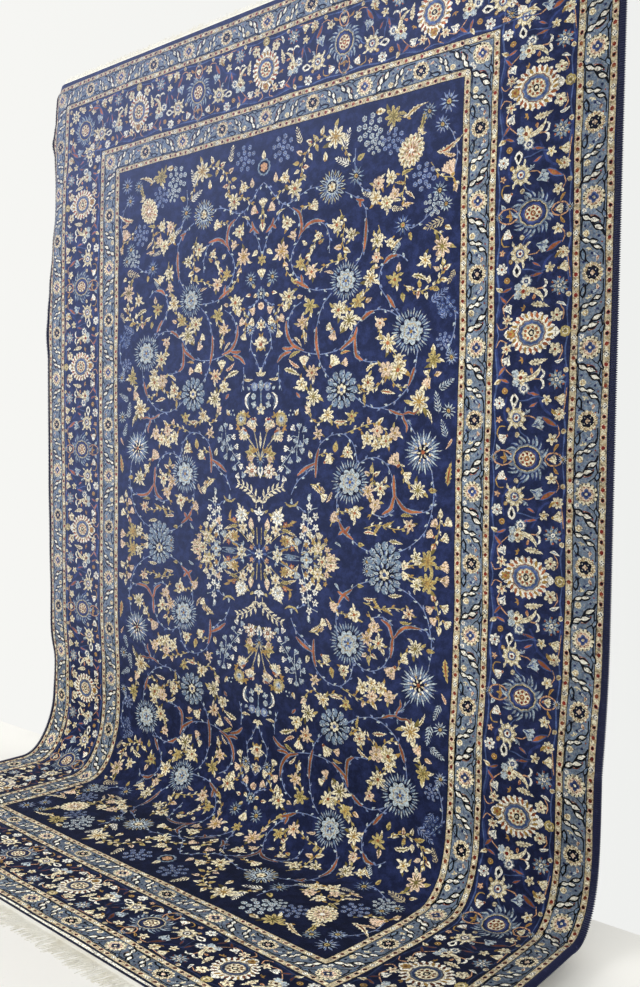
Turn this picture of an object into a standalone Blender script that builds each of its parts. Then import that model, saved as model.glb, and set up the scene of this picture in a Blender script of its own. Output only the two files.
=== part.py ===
"""A hand-knotted Persian rug, hung by its top edge and swept out over the floor.

The sheet drops straight down, bends near the floor and lies flat in front of it.
+X is right, the pile faces -Y and +Z is up. The origin is on the underside of
the part that lies on the floor. Every point of the rug is found from its place
on the flat rug: u runs across from the left edge, v runs down from the top edge.
"""
import math
import random

import bmesh
import bpy
from mathutils import Vector

# The rug laid flat, in metres
RUG_WIDTH = 2.600
RUG_LENGTH = 3.823
RUG_THICK = 0.010
SELVEDGE_WIDTH = 0.018
SELVEDGE_THICK = 0.012
WEB_WIDTH = 0.012
WEB_THICK = 0.0025
GAP = 0.0003

# The drop, the bend and the run over the floor
HANG_HEIGHT = 2.982
PILE_HANG_Y = 0.655
BEND_LEFT = 0.520
BEND_RIGHT = 0.550
BEND_POWER = 3.5
BEND_STEPS = 60
LENGTH_SKEW = 0.0129
FLOOR_SHEAR = 0.025
FLOOR_SWEEP = -0.214

# How the lower part stands off the wall, and how the right edge lifts off the floor
STAND_RUN = 0.40
STAND_LEFT = -0.017
STAND_RIGHT = 0.018
STAND_EDGE = 0.018
LIFT_FROM = 0.80
LIFT_HEIGHT = 0.062
LIFT_RUN = 0.75

# The curled left edge, the top that leans back, and the slow ripple across the drop
CURL_RUN = 0.090
TOP_RUN = 0.090
TOP_ANGLE = math.radians(12)
RIPPLE = 0.004
RIPPLE_TURNS = 2.5
RIPPLE_END = 2.3

# Down the left edge: how far in the edge is drawn, and how far round it curls back
LEFT_EDGE = (
    # down, drawn_in, curl_degrees
    (0.00, 0.022, 58),
    (0.05, 0.021, 36),
    (0.15, 0.019, 31),
    (0.20, 0.015, 24),
    (0.25, 0.013, 13),
    (0.31, 0.010, 33),
    (0.45, 0.000, 50),
    (0.55, -0.005, 53),
    (0.70, -0.010, 37),
    (0.90, -0.015, 19),
    (1.00, -0.013, 6),
    (1.10, -0.012, -4),
    (1.22, -0.012, 8),
    (1.75, -0.005, 8),
    (2.05, 0.001, 11),
    (2.25, 0.003, 16),
    (2.45, 0.001, 10),
    (2.60, 0.005, 24),
    (2.75, 0.009, 14),
    (2.95, 0.000, 0),
)

# Where the sheet's mesh is cut: down its length, in stretches of even rows
ROWS = (
    # from, to, rows
    (0.00, 0.35, 9),
    (0.35, 1.31, 12),
    (1.31, 2.35, 8),
    (2.35, 2.75, 5),
    (2.75, 3.12, 12),
    (3.12, RUG_LENGTH, 6),
)
# and across its width, between the two selvedges
COLUMNS = (
    (SELVEDGE_WIDTH, CURL_RUN, 4),
    (CURL_RUN, 0.25, 2),
    (0.25, 2.05, 11),
    (2.05, RUG_WIDTH - SELVEDGE_WIDTH, 6),
)

# The fringes: warp ends left in locks at both ends
FRINGE_SEED = 11
TOP_LOCKS = 120
TOP_LOCK_LENGTH = 0.034
TOP_LOCK_BACK = 0.30
TOP_LOCK_STEPS = 2
BOTTOM_LOCKS = 150
BOTTOM_LOCK_LENGTH = 0.070
BOTTOM_LOCK_STEPS = 3
LOCK_DRIFT = 0.0045
LOCK_TIP_WIDTH = 0.5
LOCK_TIP_THICK = 0.5

# Colour, roughness
PILE_NAVY = ((0.022, 0.026, 0.085), 0.92)
EDGE_NAVY = ((0.008, 0.009, 0.022), 0.88)
WARP_CREAM = ((0.72, 0.66, 0.54), 0.90)


def clamp(value):
    """Hold a value between 0 and 1."""
    return max(0.0, min(1.0, value))


def mix(low, high, share):
    """Go from low to high by a share."""
    return low + (high - low) * share


def smooth_step(share):
    """Ease a share in and out."""
    share = clamp(share)
    return share * share * (3.0 - 2.0 * share)


def left_edge_at(down):
    """Return how far the left edge is drawn in, and its curl in radians, at one height."""
    for upper, lower in zip(LEFT_EDGE, LEFT_EDGE[1:]):
        if down < lower[0]:
            share = smooth_step((down - upper[0]) / (lower[0] - upper[0]))
            return mix(upper[1], lower[1], share), math.radians(mix(upper[2], lower[2], share))
    return 0.0, 0.0


def turned(run, length, angle):
    """Follow a strip that turns back by an angle over its length, then goes on straight.

    Returns how far along and how far back a point at this run is.
    """
    if run <= 0.0 or abs(angle) < 1e-4:
        return run, 0.0
    radius = length / angle
    part = min(run, length) / radius
    rest = max(0.0, run - length)
    along = radius * math.sin(part) + rest * math.cos(part)
    back = radius * (1.0 - math.cos(part)) + rest * math.sin(part)
    return along, back


def bend_reach(share):
    """Return the drop and the reach of the first share of the bend, for a bend of length 1."""
    drop = 0.0
    reach = 0.0
    step = share / BEND_STEPS
    for index in range(BEND_STEPS):
        angle = math.pi / 2 * ((index + 0.5) * step) ** BEND_POWER
        drop += math.cos(angle) * step
        reach += math.sin(angle) * step
    return drop, reach


FULL_BEND_DROP = bend_reach(1.0)[0]


def pile_point(u, v):
    """Return the place in space of a point on the pile side of the flat rug."""
    across = u / RUG_WIDTH
    bend = mix(BEND_LEFT, BEND_RIGHT, clamp(across))
    run = v * (1.0 + LENGTH_SKEW * (across - 0.5))
    bend_start = HANG_HEIGHT - bend * FULL_BEND_DROP
    share = clamp((run - bend_start) / bend)
    drop, reach = bend_reach(share)
    floor_run = max(0.0, run - bend_start - bend)

    right = clamp((across - LIFT_FROM) / (1.0 - LIFT_FROM)) ** 2
    lift_left = clamp(1.0 - (floor_run / LIFT_RUN) ** 2) ** 2
    height = HANG_HEIGHT - min(run, bend_start) - bend * drop
    height += LIFT_HEIGHT * right * share ** 2 * lift_left

    out = bend * reach + floor_run
    x = u + FLOOR_SHEAR * out + FLOOR_SWEEP * out ** 2
    standing = clamp((run - bend_start + STAND_RUN) / STAND_RUN) ** 2
    out += standing * (mix(STAND_LEFT, STAND_RIGHT, across) + STAND_EDGE * right)
    ripple_here = math.sin(math.pi * clamp(run / RIPPLE_END))
    out += RIPPLE * ripple_here * math.sin(2.0 * math.pi * RIPPLE_TURNS * across)

    drawn_in, curl = left_edge_at(v)
    along, edge_back = turned(CURL_RUN - u, CURL_RUN, curl)
    if u < CURL_RUN:
        x += CURL_RUN - along - u
    x += drawn_in * clamp(1.0 - across) ** 3

    top_along, top_back = turned(TOP_RUN - run, TOP_RUN, TOP_ANGLE)
    if run < TOP_RUN:
        height += top_along - (TOP_RUN - run)
    return Vector((x - RUG_WIDTH / 2, PILE_HANG_Y - out + edge_back + top_back, height + RUG_THICK))


def rug_point(u, v, rise):
    """Return a point at a height above the rug's reverse: 0 is the reverse, RUG_THICK the pile."""
    step = 0.001
    along_v = pile_point(u, v + step) - pile_point(u, v - step)
    along_u = pile_point(u + step, v) - pile_point(u - step, v)
    outward = along_v.cross(along_u).normalized()
    return pile_point(u, v) + outward * (rise - RUG_THICK)


def stations(stretches):
    """List the cuts of some stretches, ends included."""
    cuts = [stretches[0][0]]
    for start, end, count in stretches:
        cuts.extend(mix(start, end, (index + 1) / count) for index in range(count))
    return cuts


def material(name, look):
    """Make a plain Principled material from a colour and a roughness."""
    colour, roughness = look
    result = bpy.data.materials.new(name)
    result.use_nodes = True
    shader = result.node_tree.nodes["Principled BSDF"]
    shader.inputs["Base Color"].default_value = (*colour, 1.0)
    shader.inputs["Roughness"].default_value = roughness
    shader.inputs["Metallic"].default_value = 0.0
    return result


def finish(name, mesh_data, look):
    """Turn a closed bmesh into a named object with its material."""
    bmesh.ops.recalc_face_normals(mesh_data, faces=mesh_data.faces[:])
    mesh = bpy.data.meshes.new(name)
    mesh_data.to_mesh(mesh)
    mesh_data.free()
    mesh.materials.append(look)
    mesh.shade_smooth()
    mesh.set_sharp_from_angle(angle=math.radians(40))
    result = bpy.data.objects.new(name, mesh)
    bpy.context.scene.collection.objects.link(result)
    return result


def swept_solid(name, sections, look):
    """Join closed sections, each a ring of the same number of points, into one capped solid."""
    mesh_data = bmesh.new()
    rings = [[mesh_data.verts.new(point) for point in section] for section in sections]
    count = len(rings[0])
    for ring, following in zip(rings, rings[1:]):
        for index in range(count):
            after = (index + 1) % count
            mesh_data.faces.new((ring[index], ring[after], following[after], following[index]))
    mesh_data.faces.new(reversed(rings[0]))
    mesh_data.faces.new(rings[-1])
    return finish(name, mesh_data, look)


def rug_body(look):
    """Build the knotted rug between its selvedges: a pile face, a reverse and four cut edges."""
    mesh_data = bmesh.new()
    rows = stations(ROWS)
    columns = stations(COLUMNS)
    faces = []
    for rise in (0.0, RUG_THICK):
        faces.append([[mesh_data.verts.new(rug_point(u, v, rise)) for u in columns] for v in rows])
    reverse, pile = faces
    for grid in faces:
        for row, following in zip(grid, grid[1:]):
            for index in range(len(columns) - 1):
                mesh_data.faces.new((row[index], row[index + 1], following[index + 1], following[index]))
    for edge in (0, -1):
        for index in range(len(columns) - 1):
            corners = (reverse[edge][index], reverse[edge][index + 1], pile[edge][index + 1], pile[edge][index])
            mesh_data.faces.new(corners)
        for index in range(len(rows) - 1):
            corners = (pile[index][edge], reverse[index][edge], reverse[index + 1][edge], pile[index + 1][edge])
            mesh_data.faces.new(corners)
    return finish("rug", mesh_data, look)


def selvedge(name, inner_edge, outward, look):
    """Build an overcast selvedge: a flat oval cord along one side of the rug."""
    width = SELVEDGE_WIDTH - GAP
    section = (
        # out from the rug, rise above the reverse
        (0.00, 0.00),
        (0.72, 0.00),
        (1.00, 0.28),
        (1.00, 0.62),
        (0.72, 0.95),
        (0.36, 1.00),
        (0.00, 0.86),
    )
    rings = []
    for v in stations(ROWS):
        rings.append([rug_point(inner_edge + outward * (GAP + out * width), v, rise * SELVEDGE_THICK)
                      for out, rise in section])
    return swept_solid(name, rings, look)


def lock_ring(u, v, width, thick, back):
    """Return the four corners of a fringe lock's section, leaning back by a distance."""
    lean = Vector((0.0, back, 0.0))
    corners = ((-0.5, 0.0), (0.5, 0.0), (0.5, thick), (-0.5, thick))
    return [rug_point(u + side * width, v, rise) + lean for side, rise in corners]


def fringe(name, edge, direction, locks, length, steps, back, look):
    """Build an end web with its locks of warp ends: one comb, roots fused into the web.

    edge is the rug's end, direction is -1 at the top and 1 at the bottom.
    """
    chance = random.Random(FRINGE_SEED + locks)
    mesh_data = bmesh.new()
    inner_v = edge + direction * GAP
    outer_v = inner_v + direction * WEB_WIDTH
    cell = RUG_WIDTH / (2 * locks + 1)
    cuts = [index * cell for index in range(2 * locks + 2)]
    inner = []
    outer = []
    for u in cuts:
        inner.append([mesh_data.verts.new(rug_point(u, inner_v, rise)) for rise in (0.0, WEB_THICK)])
        outer.append([mesh_data.verts.new(rug_point(u, outer_v, rise)) for rise in (0.0, WEB_THICK)])
    for index in range(len(cuts) - 1):
        after = index + 1
        mesh_data.faces.new((inner[index][0], outer[index][0], outer[after][0], inner[after][0]))
        mesh_data.faces.new((inner[index][1], inner[after][1], outer[after][1], outer[index][1]))
        mesh_data.faces.new((inner[index][0], inner[after][0], inner[after][1], inner[index][1]))
        if index % 2 == 0:
            mesh_data.faces.new((outer[index][0], outer[index][1], outer[after][1], outer[after][0]))
    for end in (0, -1):
        mesh_data.faces.new((inner[end][0], inner[end][1], outer[end][1], outer[end][0]))

    for index in range(locks):
        left = outer[2 * index + 1]
        right = outer[2 * index + 2]
        root_u = (2 * index + 1.5) * cell
        own_length = length * chance.uniform(0.72, 1.0)
        drift = chance.uniform(-LOCK_DRIFT, LOCK_DRIFT)
        ring = [left[0], right[0], right[1], left[1]]
        for step in range(1, steps + 1):
            share = step / steps
            width = cell * mix(1.0, LOCK_TIP_WIDTH, share)
            thick = WEB_THICK * mix(1.0, LOCK_TIP_THICK, share)
            corners = lock_ring(root_u + drift * share ** 1.5, outer_v + direction * own_length * share,
                                width, thick, back * own_length * share)
            following = [mesh_data.verts.new(point) for point in corners]
            for side in range(4):
                after = (side + 1) % 4
                mesh_data.faces.new((ring[side], ring[after], following[after], following[side]))
            ring = following
        mesh_data.faces.new(ring)
    return finish(name, mesh_data, look)


def main():
    """Build the rug, its selvedges and its two fringes."""
    for old in list(bpy.data.objects):
        bpy.data.objects.remove(old, do_unlink=True)
    pile = material("knotted_wool", PILE_NAVY)
    edging = material("overcast_wool", EDGE_NAVY)
    warp = material("cotton_warp", WARP_CREAM)
    rug_body(pile)
    selvedge("selvedge_left", SELVEDGE_WIDTH, -1, edging)
    selvedge("selvedge_right", RUG_WIDTH - SELVEDGE_WIDTH, 1, edging)
    fringe("fringe_top", 0.0, -1, TOP_LOCKS, TOP_LOCK_LENGTH, TOP_LOCK_STEPS, TOP_LOCK_BACK, warp)
    fringe("fringe_bottom", RUG_LENGTH, 1, BOTTOM_LOCKS, BOTTOM_LOCK_LENGTH, BOTTOM_LOCK_STEPS, 0.0, warp)


main()
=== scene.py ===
"""A hand-knotted Persian rug, hung by its top end and swept out over the floor.

The ground weave, the knotted pile, the selvedges and the fringes are laid on one
surface, found from each point's place on the flat rug: u runs across from the left
edge and v runs down from the top end. The pile's pattern is drawn as flat coloured
shapes, which then cut the pile's surface into knots of one yarn each.
"""
import math

import bpy
import numpy as np
from mathutils import Matrix, Vector
from mathutils.bvhtree import BVHTree
from mathutils.geometry import delaunay_2d_cdt


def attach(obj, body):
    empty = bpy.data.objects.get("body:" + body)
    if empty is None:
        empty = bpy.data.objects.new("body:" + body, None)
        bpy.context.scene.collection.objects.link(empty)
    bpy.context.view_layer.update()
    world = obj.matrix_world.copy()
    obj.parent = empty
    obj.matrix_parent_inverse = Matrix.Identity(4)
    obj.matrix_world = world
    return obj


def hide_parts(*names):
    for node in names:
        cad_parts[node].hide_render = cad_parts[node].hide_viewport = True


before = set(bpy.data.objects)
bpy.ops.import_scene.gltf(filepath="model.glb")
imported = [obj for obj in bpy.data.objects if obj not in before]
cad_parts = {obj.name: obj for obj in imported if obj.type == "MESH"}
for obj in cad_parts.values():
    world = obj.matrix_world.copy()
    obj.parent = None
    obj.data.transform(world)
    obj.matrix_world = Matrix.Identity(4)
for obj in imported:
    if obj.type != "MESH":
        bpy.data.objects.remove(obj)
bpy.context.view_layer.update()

# The rug laid flat, in metres
RUG_WIDTH = 2.600
RUG_LENGTH = 3.823
RUG_THICK = 0.010
GROUND_THICK = 0.0045
SELVEDGE_WIDTH = 0.018
SELVEDGE_THICK = 0.012
WEB_WIDTH = 0.012
WEB_THICK = 0.0025
GAP = 0.0003

# How the rug hangs, bends and runs over the floor
HANG_HEIGHT = 2.982
PILE_HANG_Y = 0.655
BEND_LEFT = 0.520
BEND_RIGHT = 0.550
BEND_POWER = 3.5
LENGTH_SKEW = 0.0129
FLOOR_SHEAR = 0.025
FLOOR_SWEEP = -0.214
STAND_RUN = 0.40
STAND_LEFT = -0.017
STAND_RIGHT = 0.018
STAND_EDGE = 0.018
LIFT_FROM = 0.80
LIFT_HEIGHT = 0.062
LIFT_RUN = 0.75
CURL_RUN = 0.090
TOP_RUN = 0.090
TOP_ANGLE = math.radians(12)
RIPPLE = 0.004
RIPPLE_TURNS = 2.5
RIPPLE_END = 2.3
LEFT_EDGE = np.array((
    # down, drawn in, degrees of curl
    (0.00, 0.022, 58), (0.05, 0.021, 36), (0.15, 0.019, 31), (0.20, 0.015, 24), (0.25, 0.013, 13),
    (0.31, 0.010, 33), (0.45, 0.000, 50), (0.55, -0.005, 53), (0.70, -0.010, 37), (0.90, -0.015, 19),
    (1.00, -0.013, 6), (1.10, -0.012, -4), (1.22, -0.012, 8), (1.75, -0.005, 8), (2.05, 0.001, 11),
    (2.25, 0.003, 16), (2.45, 0.001, 10), (2.60, 0.005, 24), (2.75, 0.009, 14), (2.95, 0.000, 0),
))

# The borders on the flat rug, measured in from a long side, and the field inside them
GUARD_1 = (0.0185, 0.0385)
MINOR_1 = (0.0385, 0.1125)
GUARD_2 = (0.1125, 0.1333)
GUARD_3 = (0.3747, 0.3970)
MINOR_2 = (0.3970, 0.4700)
GUARD_4 = (0.4700, 0.4947)
BORDER = GUARD_4[1]
TOP_SHARE = 0.938
BOTTOM_SHARE = 0.792
FIELD_TOP = BORDER * TOP_SHARE
FIELD_BOTTOM = RUG_LENGTH - BORDER * BOTTOM_SHARE
MIDDLE_U = 1.295
MIDDLE_V = 1.986

# Yarn colours, as they show on a display
YARNS = {
    "navy": (33, 41, 76), "midnight": (16, 18, 38), "black": (10, 10, 12), "cream": (240, 231, 200),
    "ivory": (249, 246, 232), "sand": (200, 188, 156), "peach": (206, 158, 120),
    "blush": (232, 206, 180), "straw": (188, 172, 112), "gold": (178, 144, 76), "olive": (118, 108, 58),
    "sky": (122, 144, 166), "pale": (188, 202, 208), "teal": (58, 84, 100), "steel": (78, 96, 140),
    "indigo": (48, 60, 108), "lilac": (122, 140, 182), "rust": (158, 88, 56), "brick": (118, 38, 28),
    "haze": (116, 132, 150),
}

TAU = 2.0 * math.pi
SEED = 20
NEAR = 0.001
RIBBON_RUN = 5


# ---- how the rug lies


def clamp(value):
    """Hold values between 0 and 1."""
    return np.clip(value, 0.0, 1.0)


def ease(share):
    """Ease a share in and out."""
    share = clamp(share)
    return share * share * (3.0 - 2.0 * share)


def mix(low, high, share):
    """Go from low to high by a share."""
    return low + (high - low) * share


def left_edge_at(down):
    """How far the left edge is drawn in, and its curl in radians, at these heights."""
    after = np.clip(np.searchsorted(LEFT_EDGE[:, 0], down, side="right"), 1, len(LEFT_EDGE) - 1)
    upper = LEFT_EDGE[after - 1]
    lower = LEFT_EDGE[after]
    share = ease((down - upper[:, 0]) / (lower[:, 0] - upper[:, 0]))
    here = mix(upper, lower, share[:, None])
    here[down >= LEFT_EDGE[-1, 0]] = 0.0
    return here[:, 1], np.radians(here[:, 2])


def turned(run, length, angle):
    """How far along and how far back a strip gets that turns by an angle over its length."""
    angle = np.broadcast_to(angle, run.shape)
    safe = np.where(np.abs(angle) < 1e-4, 1.0, angle)
    radius = length / safe
    part = np.minimum(run, length) / radius
    rest = np.maximum(0.0, run - length)
    along = radius * np.sin(part) + rest * np.cos(part)
    back = radius * (1.0 - np.cos(part)) + rest * np.sin(part)
    straight = (run <= 0.0) | (np.abs(angle) < 1e-4)
    return np.where(straight, run, along), np.where(straight, 0.0, back)


BEND_SHARES = np.linspace(0.0, 1.0, 2001)
BEND_ANGLES = math.pi / 2 * BEND_SHARES ** BEND_POWER


def summed(values):
    """Add up values along the bend, by trapezoids, from 0."""
    steps = (values[1:] + values[:-1]) / 2 * np.diff(BEND_SHARES)
    return np.concatenate([[0.0], np.cumsum(steps)])


BEND_DROPS = summed(np.cos(BEND_ANGLES))
BEND_REACHES = summed(np.sin(BEND_ANGLES))


def pile_places(u, v):
    """The places in space of points on the pile side of the flat rug."""
    u, v = (np.asarray(x, float).ravel() for x in np.broadcast_arrays(u, v))
    across = u / RUG_WIDTH
    bend = mix(BEND_LEFT, BEND_RIGHT, clamp(across))
    run = v * (1.0 + LENGTH_SKEW * (across - 0.5))
    bend_start = HANG_HEIGHT - bend * BEND_DROPS[-1]
    share = clamp((run - bend_start) / bend)
    drop = np.interp(share, BEND_SHARES, BEND_DROPS)
    reach = np.interp(share, BEND_SHARES, BEND_REACHES)
    floor_run = np.maximum(0.0, run - bend_start - bend)

    right = clamp((across - LIFT_FROM) / (1.0 - LIFT_FROM)) ** 2
    lift_left = clamp(1.0 - (floor_run / LIFT_RUN) ** 2) ** 2
    height = HANG_HEIGHT - np.minimum(run, bend_start) - bend * drop
    height += LIFT_HEIGHT * right * share ** 2 * lift_left

    out = bend * reach + floor_run
    x = u + FLOOR_SHEAR * out + FLOOR_SWEEP * out ** 2
    standing = clamp((run - bend_start + STAND_RUN) / STAND_RUN) ** 2
    out += standing * (mix(STAND_LEFT, STAND_RIGHT, across) + STAND_EDGE * right)
    ripple_here = np.sin(math.pi * clamp(run / RIPPLE_END))
    out += RIPPLE * ripple_here * np.sin(TAU * RIPPLE_TURNS * across)

    drawn_in, curl = left_edge_at(v)
    along, edge_back = turned(CURL_RUN - u, CURL_RUN, curl)
    x += np.where(u < CURL_RUN, CURL_RUN - along - u, 0.0)
    x += drawn_in * clamp(1.0 - across) ** 3
    top_along, top_back = turned(TOP_RUN - run, TOP_RUN, TOP_ANGLE)
    height += np.where(run < TOP_RUN, top_along - (TOP_RUN - run), 0.0)
    y = PILE_HANG_Y - out + edge_back + top_back
    return np.column_stack([x - RUG_WIDTH / 2, y, height + RUG_THICK])


def outward(u, v):
    """The directions that the pile side faces."""
    step = NEAR
    along_v = pile_places(u, v + step) - pile_places(u, v - step)
    along_u = pile_places(u + step, v) - pile_places(u - step, v)
    normal = np.cross(along_v, along_u)
    return normal / np.linalg.norm(normal, axis=1)[:, None]


def places(u, v, rise):
    """The places of points at a rise above the rug's reverse."""
    u, v, rise = (np.asarray(x, float).ravel() for x in np.broadcast_arrays(u, v, rise))
    return pile_places(u, v) + outward(u, v) * (rise - RUG_THICK)[:, None]


# ---- drawing with yarn


def oval(wide=1.0, high=None, x=0.0, y=0.0, count=6):
    """A round or oval outline."""
    angle = np.arange(count) * TAU / count
    high = wide if high is None else high
    return np.column_stack([x + wide * np.cos(angle), y + high * np.sin(angle)])


def lobed(lobes, depth, roundness, radius=1.0, turn=0.0, steps=4, wide=1.0):
    """A flower's outline: rounded lobes with creases, or points if roundness is over 1."""
    angle = np.arange(lobes * steps) * TAU / (lobes * steps)
    reach = radius * (1.0 - depth * (1.0 - np.abs(np.cos(lobes * angle / 2)) ** roundness))
    return np.column_stack([wide * reach * np.sin(angle + turn), reach * np.cos(angle + turn)])


def leaf(length, width, bend=0.0, fullness=0.85, teeth=0, start=0.0, steps=6):
    """A leaf that points up from its foot and may bend sideways; teeth make its edge jagged."""
    steps = max(steps, 2 * teeth)
    share = np.linspace(0.0, 1.0, steps + 1)
    half = width * np.sin(math.pi * share ** fullness)
    if teeth:
        half[1::2] *= 0.55
    middle = np.column_stack([bend * length * share ** 2, start + length * share])
    lean = np.arctan(2.0 * bend * share)
    side = np.column_stack([np.cos(lean), -np.sin(lean)]) * half[:, None]
    return np.concatenate([middle + side, (middle - side)[-2:0:-1]])


def bell_outline(lobes=5, depth=0.22, flare=0.95):
    """A flower seen from its side: a narrow foot and a scalloped open edge at the top."""
    share = np.linspace(-1.0, 1.0, lobes * 2 + 1)
    top = 0.75 - 0.35 * share ** 2
    top[1::2] += depth
    edge = np.column_stack([flare * share, top])
    foot = np.array([(0.30, -0.45), (0.12, -0.95), (-0.12, -0.95), (-0.30, -0.45)])
    return np.concatenate([edge, foot])


def smooth_line(points, spacing):
    """A smooth curve through points, with even steps."""
    points = np.asarray(points, float)
    ends = np.concatenate([[2 * points[0] - points[1]], points, [2 * points[-1] - points[-2]]])
    line = []
    for a, b, c, d in zip(ends, ends[1:], ends[2:], ends[3:]):
        count = max(2, int(math.ceil(np.linalg.norm(c - b) / spacing)))
        t = np.arange(count)[:, None] / count
        line.append(b + 0.5 * t * (c - a + t * (2 * a - 5 * b + 4 * c - d
                                                + t * (3 * (b - c) + d - a))))
    return np.concatenate(line + [points[-1:]])


def ribbon(line, half_width):
    """Outlines of a band along a line, cut in short lengths that overlap a little."""
    along = np.gradient(line, axis=0)
    along /= np.maximum(np.linalg.norm(along, axis=1), 1e-9)[:, None]
    side = np.column_stack([-along[:, 1], along[:, 0]]) * np.reshape(half_width, (-1, 1))
    outlines = []
    for start in range(0, len(line) - 1, RIBBON_RUN):
        part = slice(start, min(start + RIBBON_RUN + 1, len(line)))
        outlines.append(np.concatenate([(line + side)[part], (line - side)[part][::-1]]))
    return outlines


class Pen:
    """Lays unit shapes on the flat rug, moved, turned and scaled."""

    def __init__(self, shapes, chance, across, up, origin, tone=1.0):
        self.shapes = shapes
        self.chance = chance
        self.matrix = np.column_stack([across, up]).astype(float)
        self.origin = np.array(origin, float)
        self.tone = tone

    def part(self, x, y, size=1.0, turn=0.0, flip=1.0):
        """A pen at a place in this pen's own units. A turn of 90 points its shapes right."""
        angle = math.radians(turn)
        spin = np.array([(math.cos(angle), math.sin(angle)), (-math.sin(angle), math.cos(angle))])
        matrix = self.matrix @ spin * size
        matrix[:, 0] *= flip
        origin = self.origin + self.matrix @ (x, y)
        return Pen(self.shapes, self.chance, matrix[:, 0], matrix[:, 1], origin, self.tone)

    def motif(self, x, y, size=1.0, turn=0.0, flip=1.0):
        """A pen for one motif, whose yarns are a little lighter or darker than the next one's."""
        result = self.part(x, y, size, turn, flip)
        result.tone = self.chance.uniform(0.93, 1.06)
        return result

    def lay(self, outline, yarn):
        """Lay one shape over what is there."""
        self.shapes.append((outline @ self.matrix.T + self.origin, yarn, self.tone))

    def line(self, points, width, yarn, taper=0.0, spacing=None):
        """Lay a band along a smooth curve. Taper thins its ends."""
        line = smooth_line(points, spacing or 3.0 * width)
        share = np.linspace(-1.0, 1.0, len(line))
        for outline in ribbon(line, width / 2 * (1.0 - taper * np.abs(share) ** 3)):
            self.lay(outline, yarn)


# ---- flowers and leaves


def spread(pen, rise, turns, outline, yarn):
    """Lay an outline at several turns about one place."""
    for turn in turns:
        pen.part(0, rise, turn=turn).lay(outline, yarn)


def burst(pen, count, inner, outer, width, yarn, turn=0):
    """Petals round a middle."""
    turns = (turn + 360 * index / count for index in range(count))
    spread(pen, 0, turns, leaf(outer - inner, width, start=inner, steps=4), yarn)


def dots(pen, count, reach, size, yarn, turn=0, wide=1):
    """Small round spots on a ring."""
    for index in range(count):
        angle = math.radians(turn + 360 * index / count)
        pen.lay(oval(size, x=wide * reach * math.sin(angle), y=reach * math.cos(angle)), yarn)


def flower(pen, petals, petal, shade, heart):
    """An open flower of rounded petals."""
    pen.lay(lobed(petals, 0.42, 0.6, steps=6), petal)
    burst(pen, petals, 0.15, 0.7, 0.1, shade)
    pen.lay(oval(0.22), heart)


def star(pen, points, petal, shade, heart):
    """An open flower of pointed petals."""
    pen.lay(lobed(points, 0.52, 1.15, steps=6), petal)
    burst(pen, points, 0.1, 0.7, 0.08, shade)
    pen.lay(oval(0.22), heart)


def daisy(pen, petals, petal, heart):
    """Thin parted petals round a heart."""
    burst(pen, petals, 0.2, 1, 0.19, petal)
    pen.lay(oval(0.3, count=8), heart)
    pen.lay(oval(0.12), "cream")


def disc(pen, petal, ring, heart):
    """A small round bloom."""
    pen.lay(lobed(8, 0.12, 0.6, steps=2), petal)
    pen.lay(oval(0.55, count=8), ring)
    pen.lay(oval(0.38, count=8), petal)
    pen.lay(oval(0.2), heart)


def bell(pen, petal, shade, cup):
    """A flower seen from its side."""
    pen.lay(bell_outline(), petal)
    spread(pen, 0, (-26, 26), leaf(0.62, 0.07, start=-0.25, steps=4), shade)
    pen.lay(leaf(0.75, 0.11, start=-0.5, steps=4), shade)
    pen.lay(oval(0.26, 0.2, y=-0.72), cup)


def fan(pen, petal, shade, heart, cup):
    """A wide fan palmette with a cup and two curled leaves under it."""
    pen.lay(bell_outline(7, 0.14, 1.08), petal)
    spread(pen, -0.15, (-52, -26, 0, 26, 52), leaf(0.66, 0.075, start=0.12, steps=4), shade)
    pen.lay(oval(0.3, 0.26, y=-0.12, count=8), heart)
    for side in (-1, 1):
        pen.part(0, -0.9, turn=70 * side).lay(leaf(0.62, 0.12, -0.45 * side), cup)
    pen.lay(oval(0.2, 0.22, y=-0.8), cup)


def bud(pen, petal, cup):
    """A closed bud that points up."""
    pen.lay(leaf(1.9, 0.55, fullness=0.7, start=-1), petal)
    pen.lay(leaf(0.95, 0.2, start=-0.7, steps=4), cup)
    pen.lay(oval(0.3, 0.22, y=-0.8), cup)


def trefoil(pen, yarn, shade):
    """Three leaves on one foot."""
    for turn in (-62, 0, 62):
        place = pen.part(0, -0.5, turn=turn)
        place.lay(leaf(1.35, 0.34, fullness=0.8), yarn)
        place.lay(leaf(0.8, 0.1, start=0.1, steps=4), shade)


def collar(pen, turn, yarns):
    """Pointed leaves that show from under a bloom."""
    for yarn, more in zip(yarns, (0, 105, 235)):
        pen.part(0, 0, turn=turn + more).lay(leaf(0.95, 0.2, 0.35, start=0.6, steps=4), yarn)


def thistle(pen, petal, shade):
    """A small pale bloom, seen from its side, with three points."""
    pen.lay(bell_outline(3, 0.42, 1.05), petal)
    pen.lay(leaf(1.3, 0.16, start=-0.9, steps=4), shade)
    spread(pen, -0.2, (-38, 38), leaf(0.7, 0.09, start=0.1, steps=4), shade)


def ragged_bell(pen, heart):
    """A broad white bloom seen from its side, with a torn edge and a blue heart."""
    spread(pen, 0, range(-66, 67, 22), leaf(1, 0.17, steps=4), "cream")
    spread(pen, 0, (-44, 0, 44), leaf(0.7, 0.05, start=0.1, steps=4), "sand")
    pen.lay(oval(0.34, 0.28, count=8), "pale")
    pen.lay(oval(0.3, 0.16, y=-0.24, count=8), heart)


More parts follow.
